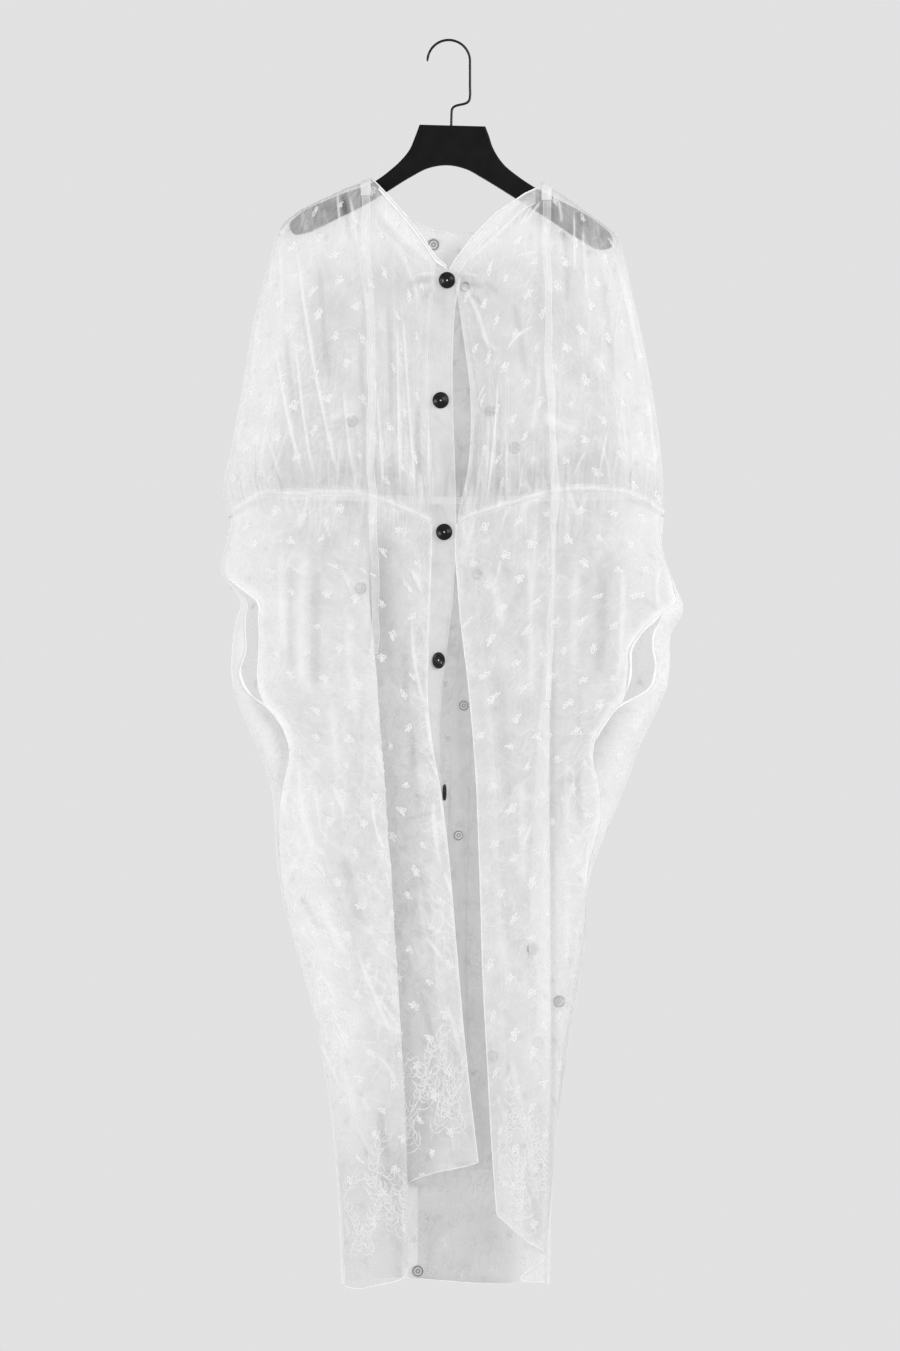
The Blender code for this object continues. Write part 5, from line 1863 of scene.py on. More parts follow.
@dataclass
class SkirtBack:
    """The back of the skirt, whose side edges are brought round to the front."""

    rows: int = 296
    wrap_columns: int = 16
    face_columns: int = 220
    hem_turn: float = 9.0
    allowance: float = 8.0
    wrap_layers: float = 0.45
    rim_layers: float = 1.3
    strip_left: float = -57.0
    strip_right: float = -38.0

    def __post_init__(self) -> None:
        """Each column's share of the width, and how far round the side the wraps' columns lie."""
        ends = self.wrap_columns
        wrap = 1 - np.cos(math.pi / 2 * np.linspace(0, 1, ends + 1))
        self.round_side = wrap[:0:-1]
        face = both_crowded(np.linspace(0, 1, self.face_columns))
        self.share = np.concatenate([np.zeros(ends), face, np.ones(ends)])
        self.wrapped = np.zeros(len(self.share), bool)
        self.wrapped[:ends] = self.wrapped[-ends:] = True

    def section(self, drop: Array) -> Array:
        """x across a drop: from one side edge to the other, and round each by the wrap.

        Args:
            drop: Places down, the last axis across the cloth.

        Returns:
            Places across.
        """
        low, high = left_side(drop), right_side(drop)
        x = low + self.share * (high - low)
        ends = self.wrap_columns
        x[..., :ends] = low[..., :ends] + self.round_side * left_wrap(drop[..., :ends])
        onwards = self.round_side[::-1] * right_wrap(drop[..., -ends:])
        x[..., -ends:] = high[..., -ends:] - onwards
        return x

    def panel(self) -> Panel:
        """Surface: that section at the back's depth, and at the front's depth on the wraps.

        Returns:
            The smooth cloth.
        """
        top = np.full(len(self.share), SKIRT_TOP)
        for _ in range(5):
            top = back_waist(self.section(top)) + WAIST_BAND_HEIGHT / 2 + SKIRT_GAP
        down = np.linspace(0, 1, self.rows)[:, None]
        drop = top + down * (column(BACK_HEM, 1)(self.share) - top)
        x = self.section(drop)
        soft = 2.2 * np.sin(x / 15 + drop / 260) * ease((drop - 590) / 300)
        y = np.where(self.wrapped, front_depth(drop), back_depth(drop) + soft) * edge_round(x, drop)
        return Panel(np.stack([x, np.where(self.wrapped, -y, y), -drop], axis=-1), 1.0)

    def layers(self, panel: Panel, extra: Array, strip: Array) -> Array:
        """Layers: the allowances and the hem, creases, wraps, rims and the strip at the hem.

        Args:
            panel: The smooth cloth.
            extra: Layers that the creases pinch.
            strip: Where the cloth is doubled at the hem.

        Returns:
            Layers at each grid point.
        """
        x, drop = panel.x, panel.drop
        layers = edge_layers(panel, self.allowance, self.allowance, self.hem_turn)
        layers += extra + self.wrap_layers * self.wrapped
        rim = np.exp(-((from_sides(x, drop) / 2.6) ** 2))
        layers += self.rim_layers * rim * ease((drop - 640) / 20) + 0.55 * strip
        beside_hole = 1.2 * ease((drop - 640) / 20) - 0.8 * ease((drop - 830) / 40)
        return layers + self.wrapped * (x < 0) * beside_hole * (1 - ease((drop - 930) / 120))

    def build(self) -> ClothPiece:
        """The creased piece with its layers.

        Returns:
            The piece.
        """
        panel = self.panel()
        x, drop, flat = panel.x, panel.drop, panel.cut_size()
        broad = Crumple(1.5, 26, 150, 0.02, 107, 4).relief(x, drop)
        small = Crumple(0.9, 13, 40, 0.45, 109, 7).relief(x, drop)
        strip = ease((x - self.strip_left) / 2) * (1 - ease((x - self.strip_right) / 2))
        strip = strip * ease((drop - 1370) / 10)
        layers = self.layers(panel, 0.5 * doubled(broad, 1.3) + 0.7 * doubled(small, 0.8), strip)
        # Painted shade: deep inside the back, less on the doubled strip at the hem, and a little on
        # the left wrap
        shade = painted_shade_inside(x, drop) * (1 - 0.8 * strip) + 0.12 * self.wrapped * (x < 0)
        relief = broad + small + cloth_grain(x, drop, 113)
        at_hem = 1 - ease((panel.down[-1:] - panel.down) / HEM_WAVE_REACH)
        relief += 1.5 * at_hem * soft_noise(x / 15, drop / 60, 127)
        panel.relieve(relief * edge_round(x, drop) * ease((drop - 560) / 20))
        marks = {
            LAYERS: layers, STRAND: strands(panel), GATHER: 0.5 * (1 - ease((drop - 560) / 150)),
            CRUMPLE: 0.25 + 0.5 * self.wrapped * np.ones(x.shape), PAINTED_SHADE: shade,
        }
        return ClothPiece("skirt_back", panel, marks, flat)


def strip_rows(panel: Panel, columns: Array, widths: Array, lift: float) -> Array:
    """Grid that follows a panel's top edge: one row a column of the cloth, one column a width.

    Args:
        panel: The cloth that it lies on.
        columns: Columns of the cloth that it follows, with fractions.
        widths: Distances below the top edge in millimetres.
        lift: How far out it lies.

    Returns:
        Points, rows along the edge and columns away from it.
    """
    mean = panel.down.mean(axis=1)
    stretch = np.interp(columns, np.arange(panel.across.shape[1]), panel.down[-1] / mean[-1])
    row = np.interp(widths[None, :] / stretch[:, None], mean, np.arange(len(mean)))
    return panel.sample(row, columns[:, None] + 0 * row, lift)


@dataclass
class NeckEdges:
    """The narrow binding of the left neck edge, the turned band of the right, the back facing."""

    left: ClothPiece
    right: ClothPiece
    back: ClothPiece
    binding: float = 9.0
    band: float = 22.0
    facing: float = 27.0
    lift: float = 1.0
    end_left: float = -84.0
    end_right: float = 105.0
    tip_left: tuple[float, float, float] = (12.5, -1.0, -10.5)
    tip_right: tuple[float, float, float] = (-4.5, 0.0, -8.5)
    tip_narrowing: float = 0.45
    rows: int = 150
    columns: int = 9
    tip_rows: int = 13

    def strip(self, piece: ClothPiece, inside: Array, width: float, lift: float) -> Array:
        """Strip along the top edge of a piece, between the neck's ends.

        Args:
            piece: The cloth that it lies on.
            inside: Whether each column is between the ends.
            width: Its width.
            lift: How far out it lies.

        Returns:
            Points, rows along the edge.
        """
        first, last = np.flatnonzero(inside)[[0, -1]]
        columns = np.linspace(first, last, self.rows)
        grid = strip_rows(piece.panel, columns, np.linspace(0, width, self.columns), lift)
        ripple = 0.35 * soft_noise(arc_lengths(grid, 0) / 9, arc_lengths(grid, 1) / 12, 131)
        return grid + np.stack([0 * ripple, ripple, 0 * ripple], axis=-1)

    def tipped(self, grid: Array, way: tuple[float, float, float]) -> Array:
        """Strip carried on past its last row, ever narrower, to the neck's point.

        Args:
            grid: The strip.
            way: From the end of its edge to the point.

        Returns:
            The longer strip.
        """
        share = np.linspace(0, 1, self.tip_rows)[1:, None, None]
        edge = grid[-1, :1]
        tip = edge + (1 - self.tip_narrowing * share) * (grid[-1] - edge) + share * way
        return np.concatenate([grid, tip])

    def build(self, dresser: Dresser) -> None:
        """Make the three edgings.

        Args:
            dresser: Maker of the pieces.
        """
        inside = self.left.panel.x[0] > self.end_left
        grid = self.strip(self.left, inside, self.binding, self.lift)
        panel = Panel(self.tipped(grid, self.tip_left), 1.0)
        self.left.attached.append(
            dresser.cloth("neck_binding_fold", panel, BINDING, "band_cloth",
                          ("neck_binding_left",), {LAYERS: folded_edges(panel, 1.0)})
        )
        inside = self.right.panel.x[0] < self.end_right
        grid = self.strip(self.right, inside, self.band, self.lift)
        panel = Panel(self.tipped(grid, self.tip_right), -1.0)
        self.right.attached.append(
            dresser.cloth("neck_band_fold", panel, NECK_BAND, "band_cloth",
                          ("neck_band_right",), {LAYERS: folded_edges(panel, 1.6, 1.8)})
        )
        inside = (self.back.panel.x[0] > self.end_left) & (self.back.panel.x[0] <= self.end_right)
        panel = Panel(self.strip(self.back, inside, self.facing, -self.lift), 1.0)
        self.back.attached.append(
            dresser.cloth("back_neck_facing", panel, FACING, "band_cloth", ("neck_facing_back",))
        )


@dataclass
class WaistSeam:
    """The narrow band that joins a bodice piece to the skirt below it."""

    bodice: ClothPiece
    skirt: ClothPiece
    name: str
    stands_for: str
    facing: float
    overlap: float = 0.8
    lift: float = 0.2
    bulge: float = 0.4
    back_seam_painted_shade: float = 0.75
    columns: int = 9

    def grid(self) -> Array:
        """Surface from the bodice's last row to the skirt's first row at the same x, lifted by
        lift + bulge * sin(pi k), with the puckers of the gathers.

        Returns:
            Points, rows along the seam.
        """
        top = self.bodice.panel.points[-1]
        below = self.skirt.panel.points[0]
        below = below[below[:, 1] * self.facing >= 0]
        below = below[np.argsort(below[:, 0])]
        under = [np.interp(top[:, 0], below[:, 0], below[:, axis]) for axis in (1, 2)]
        bottom = np.stack([top[:, 0], *under], axis=-1)
        share = np.linspace(0, 1, self.columns)[None, :, None]
        start, stop = top[:, None] + (0, 0, self.overlap), bottom[:, None] - (0, 0, self.overlap)
        points = (1 - share) * start + share * stop
        x, drop = points[..., 0], -points[..., 2]
        proud = self.lift + self.bulge * np.sin(math.pi * share[..., 0])
        proud = proud + 0.5 * soft_noise(x / 3.4, drop / 9, 139)
        proud = proud + 0.3 * soft_noise(x / 9, drop / 5, 141)
        points[..., 1] += self.facing * proud * np.maximum(edge_round(x, drop), 0.15)
        return points

    def build(self, dresser: Dresser) -> None:
        """Make the band, densest in a wandering line along its middle.

        Args:
            dresser: Maker of the pieces.
        """
        seam_x = self.bodice.panel.x[-1]
        outward = math.copysign(1.0, (seam_x[-1] - seam_x[0]) * -self.facing)
        panel = Panel(self.grid(), outward)
        ragged = 0.75 + 0.45 * soft_noise(panel.down / 4.5, panel.across / 4, 143)
        wander = 0.1 * soft_noise(panel.down / 14, 0 * panel.down, 145)
        off = np.linspace(0, 1, self.columns) - 0.45 + wander
        line = np.exp(-((off / 0.17) ** 2)) * ragged
        marks = {LAYERS: 1.2 + 1.5 * line}
        # The back's band carries painted shade, as it lies behind the fronts
        if self.facing > 0:
            marks = {LAYERS: 0.9 + 0.5 * line, PAINTED_SHADE: np.full(line.shape, self.back_seam_painted_shade)}
        made = dresser.cloth(self.name, panel, SEAM_BAND, "band_cloth", (self.stands_for,), marks)
        self.bodice.attached.append(made)


@dataclass
class Plackets:
    """Both button strips of the front, and the layer between the right one and the fold."""

    width: float = PLACKET_WIDTH
    right_width: float = RIGHT_PLACKET_WIDTH
    inner_layers_painted_shade: float = 0.66

    def left_grid(self, columns: int, drops: Array) -> Array:
        """Left strip: seam + reach * (cos turn, sin turn), which turns under lower down.

        Args:
            columns: Points across.
            drops: Places down.

        Returns:
            Points.
        """
        seam_x, turn = left_centre(drops), np.radians(left_turn(drops))
        front = -(front_depth(drops) + front_bias(seam_x)) + 2.2 * ease(turn / 2.4)
        reach = np.linspace(0, self.width, columns)
        x = seam_x[:, None] + reach * np.cos(turn)[:, None]
        y = front[:, None] + reach * np.sin(turn)[:, None]
        slant = 0.7 * (1 - ease((drops - LEFT_CENTRE[0][0]) / 70))
        return np.stack([x, y, -(drops[:, None] + slant[:, None] * reach)], axis=-1)

    def inner_grid(self, start: Array, stop: Array, columns: int, drops: Array) -> Array:
        """Layer behind the right front, from one line to another.

        Args:
            start: x where it starts at each drop.
            stop: x where it ends.
            columns: Points across.
            drops: Places down.

        Returns:
            Points.
        """
        x = start[:, None] + np.linspace(0, 1, columns) * (stop - start)[:, None]
        drop = drops[:, None] + 0 * x
        depth = front_depth(drop) - INNER_LAYER_SET - 1.8 * ease((drop - 600) / 100)
        return np.stack([x, -depth, -drop], axis=-1)

    def rippled(self, grid: Array, seed: int, height: float) -> Panel:
        """Panel that faces forwards, with soft waves down it.

        Args:
            grid: Its points.
            seed: Choice of the waves.
            height: Their height.

        Returns:
            The panel.
        """
        panel = Panel(grid, -1.0)
        wave = height * soft_noise(panel.across / 16, panel.down / 42, seed)
        wave += 0.35 * height * soft_noise(panel.across / 5, panel.down / 9, seed + 1)
        panel.relieve(wave)
        return panel

    def build(self, dresser: Dresser) -> dict[str, bpy.types.Object]:
        """Make the three layers. The strips are folded twice along both edges.

        Args:
            dresser: Maker of the pieces.

        Returns:
            The layers by name.
        """
        drops = np.linspace(LEFT_CENTRE[0][0] + 4, LEFT_CENTRE[-1][0] - 4, 460)
        left = self.rippled(self.left_grid(13, drops), 149, 0.7)
        drops = np.linspace(RIGHT_PLACKET[0][0], RIGHT_PLACKET[-1][0], 380)
        middle, half = right_placket(drops), self.right_width / 2
        right = self.rippled(self.inner_grid(middle - half, middle + half, 11, drops), 151, 0.5)
        drops = np.linspace(590, 1352, 260)
        start = right_placket(drops) + self.right_width / 2 + SEAM_GAP
        stop = np.maximum(right_centre(drops) + 16, start + 10)
        layer = self.rippled(self.inner_grid(start, stop, 12, drops), 157, 0.5)
        # The right strip and the layer behind the right front carry painted shade, as they lie
        # recessed behind the fronts
        marks = {
            LAYERS: folded_edges(right, 0.8), PAINTED_SHADE: np.full(right.across.shape, self.inner_layers_painted_shade),
            STRAND: strands(right), GATHER: 0.7 * (1 - ease((right.drop - 560) / 60)),
        }
        inner = {
            LAYERS: np.ones(layer.across.shape), PAINTED_SHADE: np.full(layer.across.shape, self.inner_layers_painted_shade),
        }
        return {
            "left": dresser.cloth("placket_left_strip", left, PLACKET, "band_cloth",
                                  ("placket_left",), {LAYERS: folded_edges(left, 1.0)}),
            "right": dresser.cloth("placket_right_strip", right, INNER_PLACKET, "band_cloth",
                                   ("placket_right",), marks),
            "return": dresser.cloth("right_front_return", layer, VOILE, "sheer_cloth",
                                    ("skirt_front_right_return",), inner),
        }


@dataclass
class Fastenings:
    """Press buttons on the left strip, their mating halves, and the studs on the back."""

    plackets: Plackets
    rim: Table = (
        (0, 1.25), (2.2, 1.3), (5.9, 1.7), (6.7, 2.5), (7.4, 3.2), (8.4, 3.45), (9.3, 3.1),
        (9.9, 2.2),
        (9.9, 1.2), (9.2, 0.2), (8.4, 0.0), (0, 0.0),
    )
    pin: Table = ((0, 0.9), (0.7, 0.75), (1.1, 0.35), (1.3, 0.0), (0, -0.1))
    pin_lift: float = 1.2
    stud_plate: Table = (
        (0, 0.35), (3.0, 0.42), (5.4, 0.42), (7.2, 0.35), (7.9, 0.2), (7.7, 0.0), (0, 0.0),
    )
    stud_width: float = 15.8
    stud_rings: tuple[tuple[float, float], ...] = ((2.3, 0.55), (5.9, 0.75))
    ring_lift: float = 0.75
    back_studs: int = 9

    def button(self, dresser: Dresser, name: str, drop: float, twist_room: float) -> None:
        """Make a dished button with its pin, square to the strip.

        Args:
            dresser: Maker of the pieces.
            name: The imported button.
            drop: Its place along the strip.
            twist_room: Extra room over the strip's twist.
        """
        level = np.array([float(drop)])
        turn = math.radians(float(left_turn(level)[0]))
        facing = np.array([math.sin(turn), -math.cos(turn), 0.0])
        away = CLOTH_HALF + SEAM_GAP + twist_room
        centre = self.plackets.left_grid(3, level)[0, 1] + facing * away
        mesh = dresser.lathe(f"{name}_dish", self.rim, centre, facing)
        dresser.piece(f"{name}_dish", mesh, BUTTON, "button_black", (name,))
        mesh = dresser.lathe(f"{name}_pin", self.pin, centre + facing * self.pin_lift, facing, 16)
        dresser.piece(f"{name}_pin", mesh, BUTTON_PIN, "stud_grey")

    def stud(self, dresser: Dresser, name: str) -> None:
        """Make a round plate with two raised rings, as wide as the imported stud.

        Args:
            dresser: Maker of the pieces.
            name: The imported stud.
        """
        low, high = (np.array(corner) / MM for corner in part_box(name))
        scale = (high[0] - low[0]) / self.stud_width
        back = np.array([(low[0] + high[0]) / 2, high[1], (low[2] + high[2]) / 2])
        facing = np.array([0.0, -1.0, 0.0])
        plate = tuple((across * scale, up) for across, up in self.stud_plate)
        mesh = dresser.lathe(f"{name}_plate", plate, back, facing, 28)
        dresser.piece(f"{name}_plate", mesh, STUD_PLATE, "stud_grey", (name,))
        middle = back + self.ring_lift * facing
        for number, (radius, thick) in enumerate(self.stud_rings, start=1):
            mesh = dresser.ring(f"{name}_ring_{number}", radius * scale, thick, middle, facing)
            dresser.piece(f"{name}_ring_{number}", mesh, STUD, "stud_grey")

    def build(self, dresser: Dresser) -> None:
        """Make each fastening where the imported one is.

        Args:
            dresser: Maker of the pieces.
        """
        for number, (drop, twist_room) in enumerate(BUTTONS, start=1):
            self.button(dresser, f"button_{number}", drop, twist_room)
        for number in range(1, len(SOCKET_DROPS) + 1):
            self.stud(dresser, f"socket_{number}")
        for number in range(1, self.back_studs + 1):
            self.stud(dresser, f"back_stud_{number}")


@dataclass
class ArmOpenings:
    """Rolled edges of the two arm openings."""

    radius: float = 1.3
    proud: float = 0.7
    ends: dict[Side, tuple[float, float]] = field(
        default_factory=lambda: {Side.LEFT: (645, 792), Side.RIGHT: (684, 788)}
    )
    left_front_weight: Table = ((640, 1.3), (672, 1.2), (692, 0.4), (792, 0.4))
    left_back_weight: Table = ((650, 0.35), (735, 0.5), (772, 1.3), (842, 1.1))

    def edge(self, side: Side, front: bool, drops: Array) -> Array:
        """Line along the front's or the back's edge, just in front of the cloth.

        Args:
            side: Half of the dress.
            front: Whether it is the front's edge.
            drops: Places down.

        Returns:
            Points.
        """
        x = opening_edges(side, drops)[1 if front else 0]
        rise = 0.0
        if front:
            rise = column(LEFT_FOLD, 3)(drops) if side is Side.LEFT else -right_recess(drops)
        depth = (front_depth(drops) + rise) * edge_round(x, drops) + self.proud
        return np.stack([x, -depth, -drops], axis=-1)

    def roll(self, dresser: Dresser, side: Side, front: bool) -> None:
        """Make one rolled edge, thin at its ends.

        Args:
            dresser: Maker of the pieces.
            side: Half of the dress.
            front: Whether it is the front's edge.
        """
        start, stop = self.ends[side]
        low, high = (start, stop - 8) if front else (start + 12, stop + 50)
        drops = np.linspace(low, high, 110)
        radius = self.radius * (1 + 0.28 * soft_noise(drops / 11, drops / 23, 163 + int(front)))
        radius *= 0.35 + 0.65 * ease(np.minimum(drops - low, high - drops) / 14)
        if side is Side.LEFT:
            radius *= straight(self.left_front_weight if front else self.left_back_weight, 1)(drops)
        name = f"cuff_{'front' if front else 'back'}_{side.value}"
        mesh = dresser.tube(f"{name}_roll", self.edge(side, front, drops), radius, 10)
        dresser.piece(f"{name}_roll", mesh, ROLLED_EDGE, "band_cloth", (name,))

    def build(self, dresser: Dresser) -> None:
        """Make a rolled edge on each side of each opening.

        Args:
            dresser: Maker of the pieces.
        """
        for side in self.ends:
            self.roll(dresser, side, True)
            self.roll(dresser, side, False)


@dataclass
class Ties:
    """A loop over each shoulder seam beside the neck, and the flat tie that hangs from it."""

    width: float = 9.5
    loop_width: float = 12.0
    loop_front: float = 14.0
    loop_back: float = 12.6
    loop_drop: float = 19.0
    cup: float = 0.5
    across: tuple[float, ...] = (-0.5, -0.38, -0.26, 0, 0.26, 0.38, 0.5)

    def loop(self, neck_x: float, lift: float) -> Array:
        """Strip over the shoulder: a superellipse from front to back, with straight ends.

        Args:
            neck_x: x of its middle.
            lift: How far its crown is raised.

        Returns:
            Points.
        """
        top = float(shoulder_drop(neck_x))
        angle = np.linspace(-math.pi / 2, math.pi / 2, 37)
        depth = np.where(angle < 0, self.loop_front, self.loop_back)
        high = SHOULDER_ROLL + 1.6 + lift
        y = depth * np.sign(np.sin(angle)) * np.abs(np.sin(angle)) ** (2 / ROLL_POWER)
        drop = top + SHOULDER_ROLL - high * np.abs(np.cos(angle)) ** (2 / ROLL_POWER)
        y = np.concatenate([np.full(3, -self.loop_front), y, np.full(3, self.loop_back)])
        ends = top + self.loop_drop - np.array([0, 3, 6])
        drop = np.concatenate([ends, drop, ends[::-1]])
        x = neck_x + np.linspace(-0.5, 0.5, 7) * self.loop_width
        slope = shoulder_drop(x) - top
        near_crown = 1 - ease((drop - top) / self.loop_drop)
        grid_drop = drop[:, None] + near_crown[:, None] * slope
        pucker = 0.7 * soft_noise(x[None, :] / 2.6 + 9, drop[:, None] / 4, 167)
        grid_y = y[:, None] + np.sign(y[:, None]) * pucker
        return np.stack([x + 0 * grid_drop, grid_y, -grid_drop], axis=-1)

    def ribbon(self, table: Table) -> Array:
        """Tie: across = offset * (cos twist, sin twist) about a line that hangs in front.

        Args:
            table: Drop, x, depth in front, twist.

        Returns:
            Points.
        """
        drops = np.linspace(table[0][0], table[-1][0], 360)
        middle, depth = column(table, 1)(drops)[:, None], column(table, 2)(drops)[:, None]
        twist = np.radians(column(table, 3)(drops))[:, None]
        offset = np.array(self.across) * self.width
        cupped = self.cup * np.cos(2 * math.pi * offset / self.width)
        wander = 1.5 * soft_noise(drops / 42, drops / 90, 173)[:, None]
        x = middle + wander + offset * np.cos(twist) - cupped * np.sin(twist)
        y = -depth + offset * np.sin(twist) + cupped * np.cos(twist)
        return np.stack([x, y, -drops[:, None] + 0 * x], axis=-1)

    def build(self, dresser: Dresser) -> None:
        """Make both loops and both ties.

        Args:
            dresser: Maker of the pieces.
        """
        for side, table, lift in (("left", LEFT_TIE, 0.6), ("right", RIGHT_TIE, 1.4)):
            loop = dresser.cloth(
                f"shoulder_tab_{side}", Panel(self.loop(table[0][1], lift), 1.0), SHOULDER_LOOP,
                "band_cloth", (f"shoulder_loop_{side}",),
            )
            panel = Panel(self.ribbon(table), -1.0)
            tie = dresser.cloth(
                f"tie_{side}_ribbon", panel, RIBBON, "tie_cloth", (f"tie_{side}",),
                {LAYERS: folded_edges(panel, 2.0, 1.1)},
            )


@dataclass
class RolledEdges:
    """Rolled or turned edges of the cloth: seams, hems and fold lines."""

    radius: float = 0.42
    step: float = 1.6
    least_step: float = 0.2

    def build(
        self, dresser: Dresser, name: str, path: Array, swell: float, seed: int
    ) -> bpy.types.Object:
        """Make a roll along a line of the cloth.

        Args:
            dresser: Maker of the pieces.
            name: Its name.
            path: The line.
            swell: Factor of its radius.
            seed: Choice of the unevenness.

        Returns:
            The object.
        """
        keep = np.concatenate([[True], np.diff(np.floor(line_lengths(path) / self.step)) > 0])
        path = path[keep]
        steps = np.linalg.norm(np.diff(path, axis=0), axis=1)
        path = path[np.concatenate([[True], steps > self.least_step])]
        length = line_lengths(path)
        vary = 1 + 0.35 * soft_noise(length / 9, length / 31, seed)
        mesh = dresser.tube(name, path, self.radius * swell * vary, 6)
        return dresser.piece(name, mesh, ROLLED_EDGE, "band_cloth")


@dataclass
class Embroidery:
    """Small sprigs all over the voile, and denser sprays above the front hems."""

    across_step: float = 39.0
    down_step: float = 34.0
    steps_each_way: int = 12
    margin: float = 9.0
    line: float = 1.7
    spray_line: float = 0.85
    lift: float = 0.35
    corners: int = 8
    petals: Table = (
        (90, 5.4, 3.0), (24, 5.0, 2.8), (156, 5.0, 2.8), (-64, 5.2, 1.8), (-116, 4.6, 1.8),
    )
    turns: Table = ((0, 0.4), (180, 0.3), (75, 0.15), (-75, 0.15))
    stems: Table = (
        (-26, 4, 0.7, 1.9), (20, 0, 2.3, -1.7), (30, 26, 1.0, 1.5), (-12, 34, 2.5, -2.1),
    )
    stroke_points: int = 12
    leaf_pairs: int = 13

    def sprig_loops(self) -> tuple[Array, Array]:
        """Outlines of a sprig's five loops.

        A loop is an ellipse whose end is at the sprig's middle, turned to the loop's angle.

        Returns:
            Outer and inner outlines, in millimetres.
        """
        turns = np.linspace(0, 2 * math.pi, self.corners, endpoint=False)
        rings = []
        for grow in (self.line / 2, -self.line / 2):
            loops = []
            for angle, reach, width in self.petals:
                turned = math.radians(angle)
                long = 0.6 + reach / 2 + (reach / 2 + grow) * np.cos(turns)
                short = (width / 2 + grow) * np.sin(turns)
                loops.append(np.stack([
                    long * math.cos(turned) - short * math.sin(turned),
                    long * math.sin(turned) + short * math.cos(turned),
                ], axis=-1))
            rings.append(np.array(loops))
        return rings[0], rings[1]

    def net(self, panel: Panel, anchor: float) -> Array:
        """Places of a staggered net on a cloth.

        Args:
            panel: The cloth.
            anchor: Share of the columns where the net starts.

        Returns:
            Places across and down, in millimetres.
        """
        mean = panel.down.mean(axis=1)
        anchors = panel.across[:, int(anchor * (panel.across.shape[1] - 1))]
        levels = np.arange(self.down_step * 0.6, float(mean[-1]) - self.margin, self.down_step)
        places = []
        for number, level in enumerate(levels):
            steps = np.arange(-self.steps_each_way, self.steps_each_way + 1) + 0.5 * (number % 2)
            across = float(np.interp(level, mean, anchors)) + steps * self.across_step
            width = float(panel.width_at(level))
            across = across[(across > self.margin) & (across < width - self.margin)]
            places.append(np.stack([across, np.full(len(across), level)], axis=-1))
        return np.concatenate(places)

    def sprigs(
        self, dresser: Dresser, piece: ClothPiece, seed: int, anchor: float, side: float = 1.0
    ) -> None:
        """Sprigs on a staggered net over a piece.

        Args:
            dresser: Maker of the meshes.
            piece: The cloth.
            seed: Choice of the small shifts and turns.
            anchor: Share of the columns where the net starts.
            side: 1 on the outward side of the cloth, -1 on the other.
        """
        panel, random = piece.panel, np.random.default_rng(seed)
        centres = self.net(panel, anchor)
        count = len(centres)
        centres += random.uniform(-4.0, 4.0, centres.shape)
        angles, chances = zip(*self.turns)
        turns = np.radians(random.choice(angles, count, p=chances))
        turns += random.uniform(-0.35, 0.35, count)
        size = random.uniform(0.85, 1.12, count)
        petal_size = random.uniform(0.62, 1.15, (count, len(self.petals)))
        petal_size = np.repeat(petal_size, self.corners, axis=1)
        cos, sin = np.cos(turns)[:, None], np.sin(turns)[:, None]
        rings = []
        for outline, rise in zip(self.sprig_loops(), (0.0, 0.3)):
            flat = outline.reshape(1, -1, 2) * size[:, None, None] * petal_size[..., None]
            across = centres[:, :1] + flat[..., 0] * cos - flat[..., 1] * sin
            down = centres[:, 1:] - flat[..., 0] * sin - flat[..., 1] * cos
            row, column_at = panel.locate(across, down)
            rings.append(panel.sample(row, column_at, side * (self.lift + rise)).reshape(-1, 3))
        index = np.arange(len(rings[0])).reshape(-1, self.corners)
        after, inner = np.roll(index, -1, axis=1), len(rings[0])
        faces = np.stack([index, after, after + inner, index + inner], axis=-1).reshape(-1, 4)
        faces = faces if side * panel.outward > 0 else faces[:, ::-1]
        name = f"sprigs_{piece.name}" if side > 0 else f"sprigs_{piece.name}_inside"
        mesh = dresser.mesh(name, np.concatenate(rings), [faces])
        # Sprigs on the inside take the thread painted darker as painted shade
        finish = EMBROIDERY if side > 0 else FAINT_SHADED_THREAD
        piece.attached.append(dresser.piece(name, mesh, finish, "band_cloth"))
        LOG.info("%s: %d sprigs", piece.name, count)

    def spray_strokes(self, random: np.random.Generator) -> Array:
        """Strokes of one spray: bowed stems with narrow leaves.

        A stem bends evenly on its way. Each leaf is two curved outlines that leave the stem
        at one place, part, and come together again towards the tip.

        Args:
            random: Source of the bends.

        Returns:
            Points in millimetres, one row a stroke.
        """
        share = np.linspace(0, 1, self.stroke_points)
        strokes = []

        def twig(x: float, y: float, angle: float, reach: float, curl: float) -> Array:
            """Add a curved stroke, whose direction turns evenly on the way.

            Args:
                x: Place across of its foot.
                y: Height of its foot.
                angle: Direction at its foot.
                reach: Its length.
                curl: How far the direction turns.

            Returns:
                Its points.
            """
            way = angle + curl * share
            step = reach / (self.stroke_points - 1)
            points = np.stack([
                x + np.cumsum(np.cos(way)) * step, y + np.cumsum(np.sin(way)) * step
            ], axis=-1)
            strokes.append(points)
            return points

        for base, foot, lean, turn in self.stems:
            lean, turn = lean + random.uniform(-0.2, 0.2), turn * random.uniform(0.8, 1.15)
            reach = random.uniform(84, 112)
            stem = twig(base + random.uniform(-4, 4), foot, lean, reach, turn)
            shifts = random.uniform(-0.015, 0.015, self.leaf_pairs)
            for place in np.linspace(0.06, 0.98, self.leaf_pairs) + shifts:
                x, y = (float(np.interp(place, share, stem[:, axis])) for axis in (0, 1))
                for way in (1, -1):
                    angle = lean + turn * place + way * random.uniform(0.8, 1.3)
                    leaf = random.uniform(11, 20) * (1.1 - 0.4 * place)
                    curl = -way * random.uniform(0.5, 1.7)
                    twig(x, y, angle, leaf, curl)
                    twig(x, y, angle + way * 0.36, leaf * 0.9, curl - way * 0.7)
        return np.array(strokes)

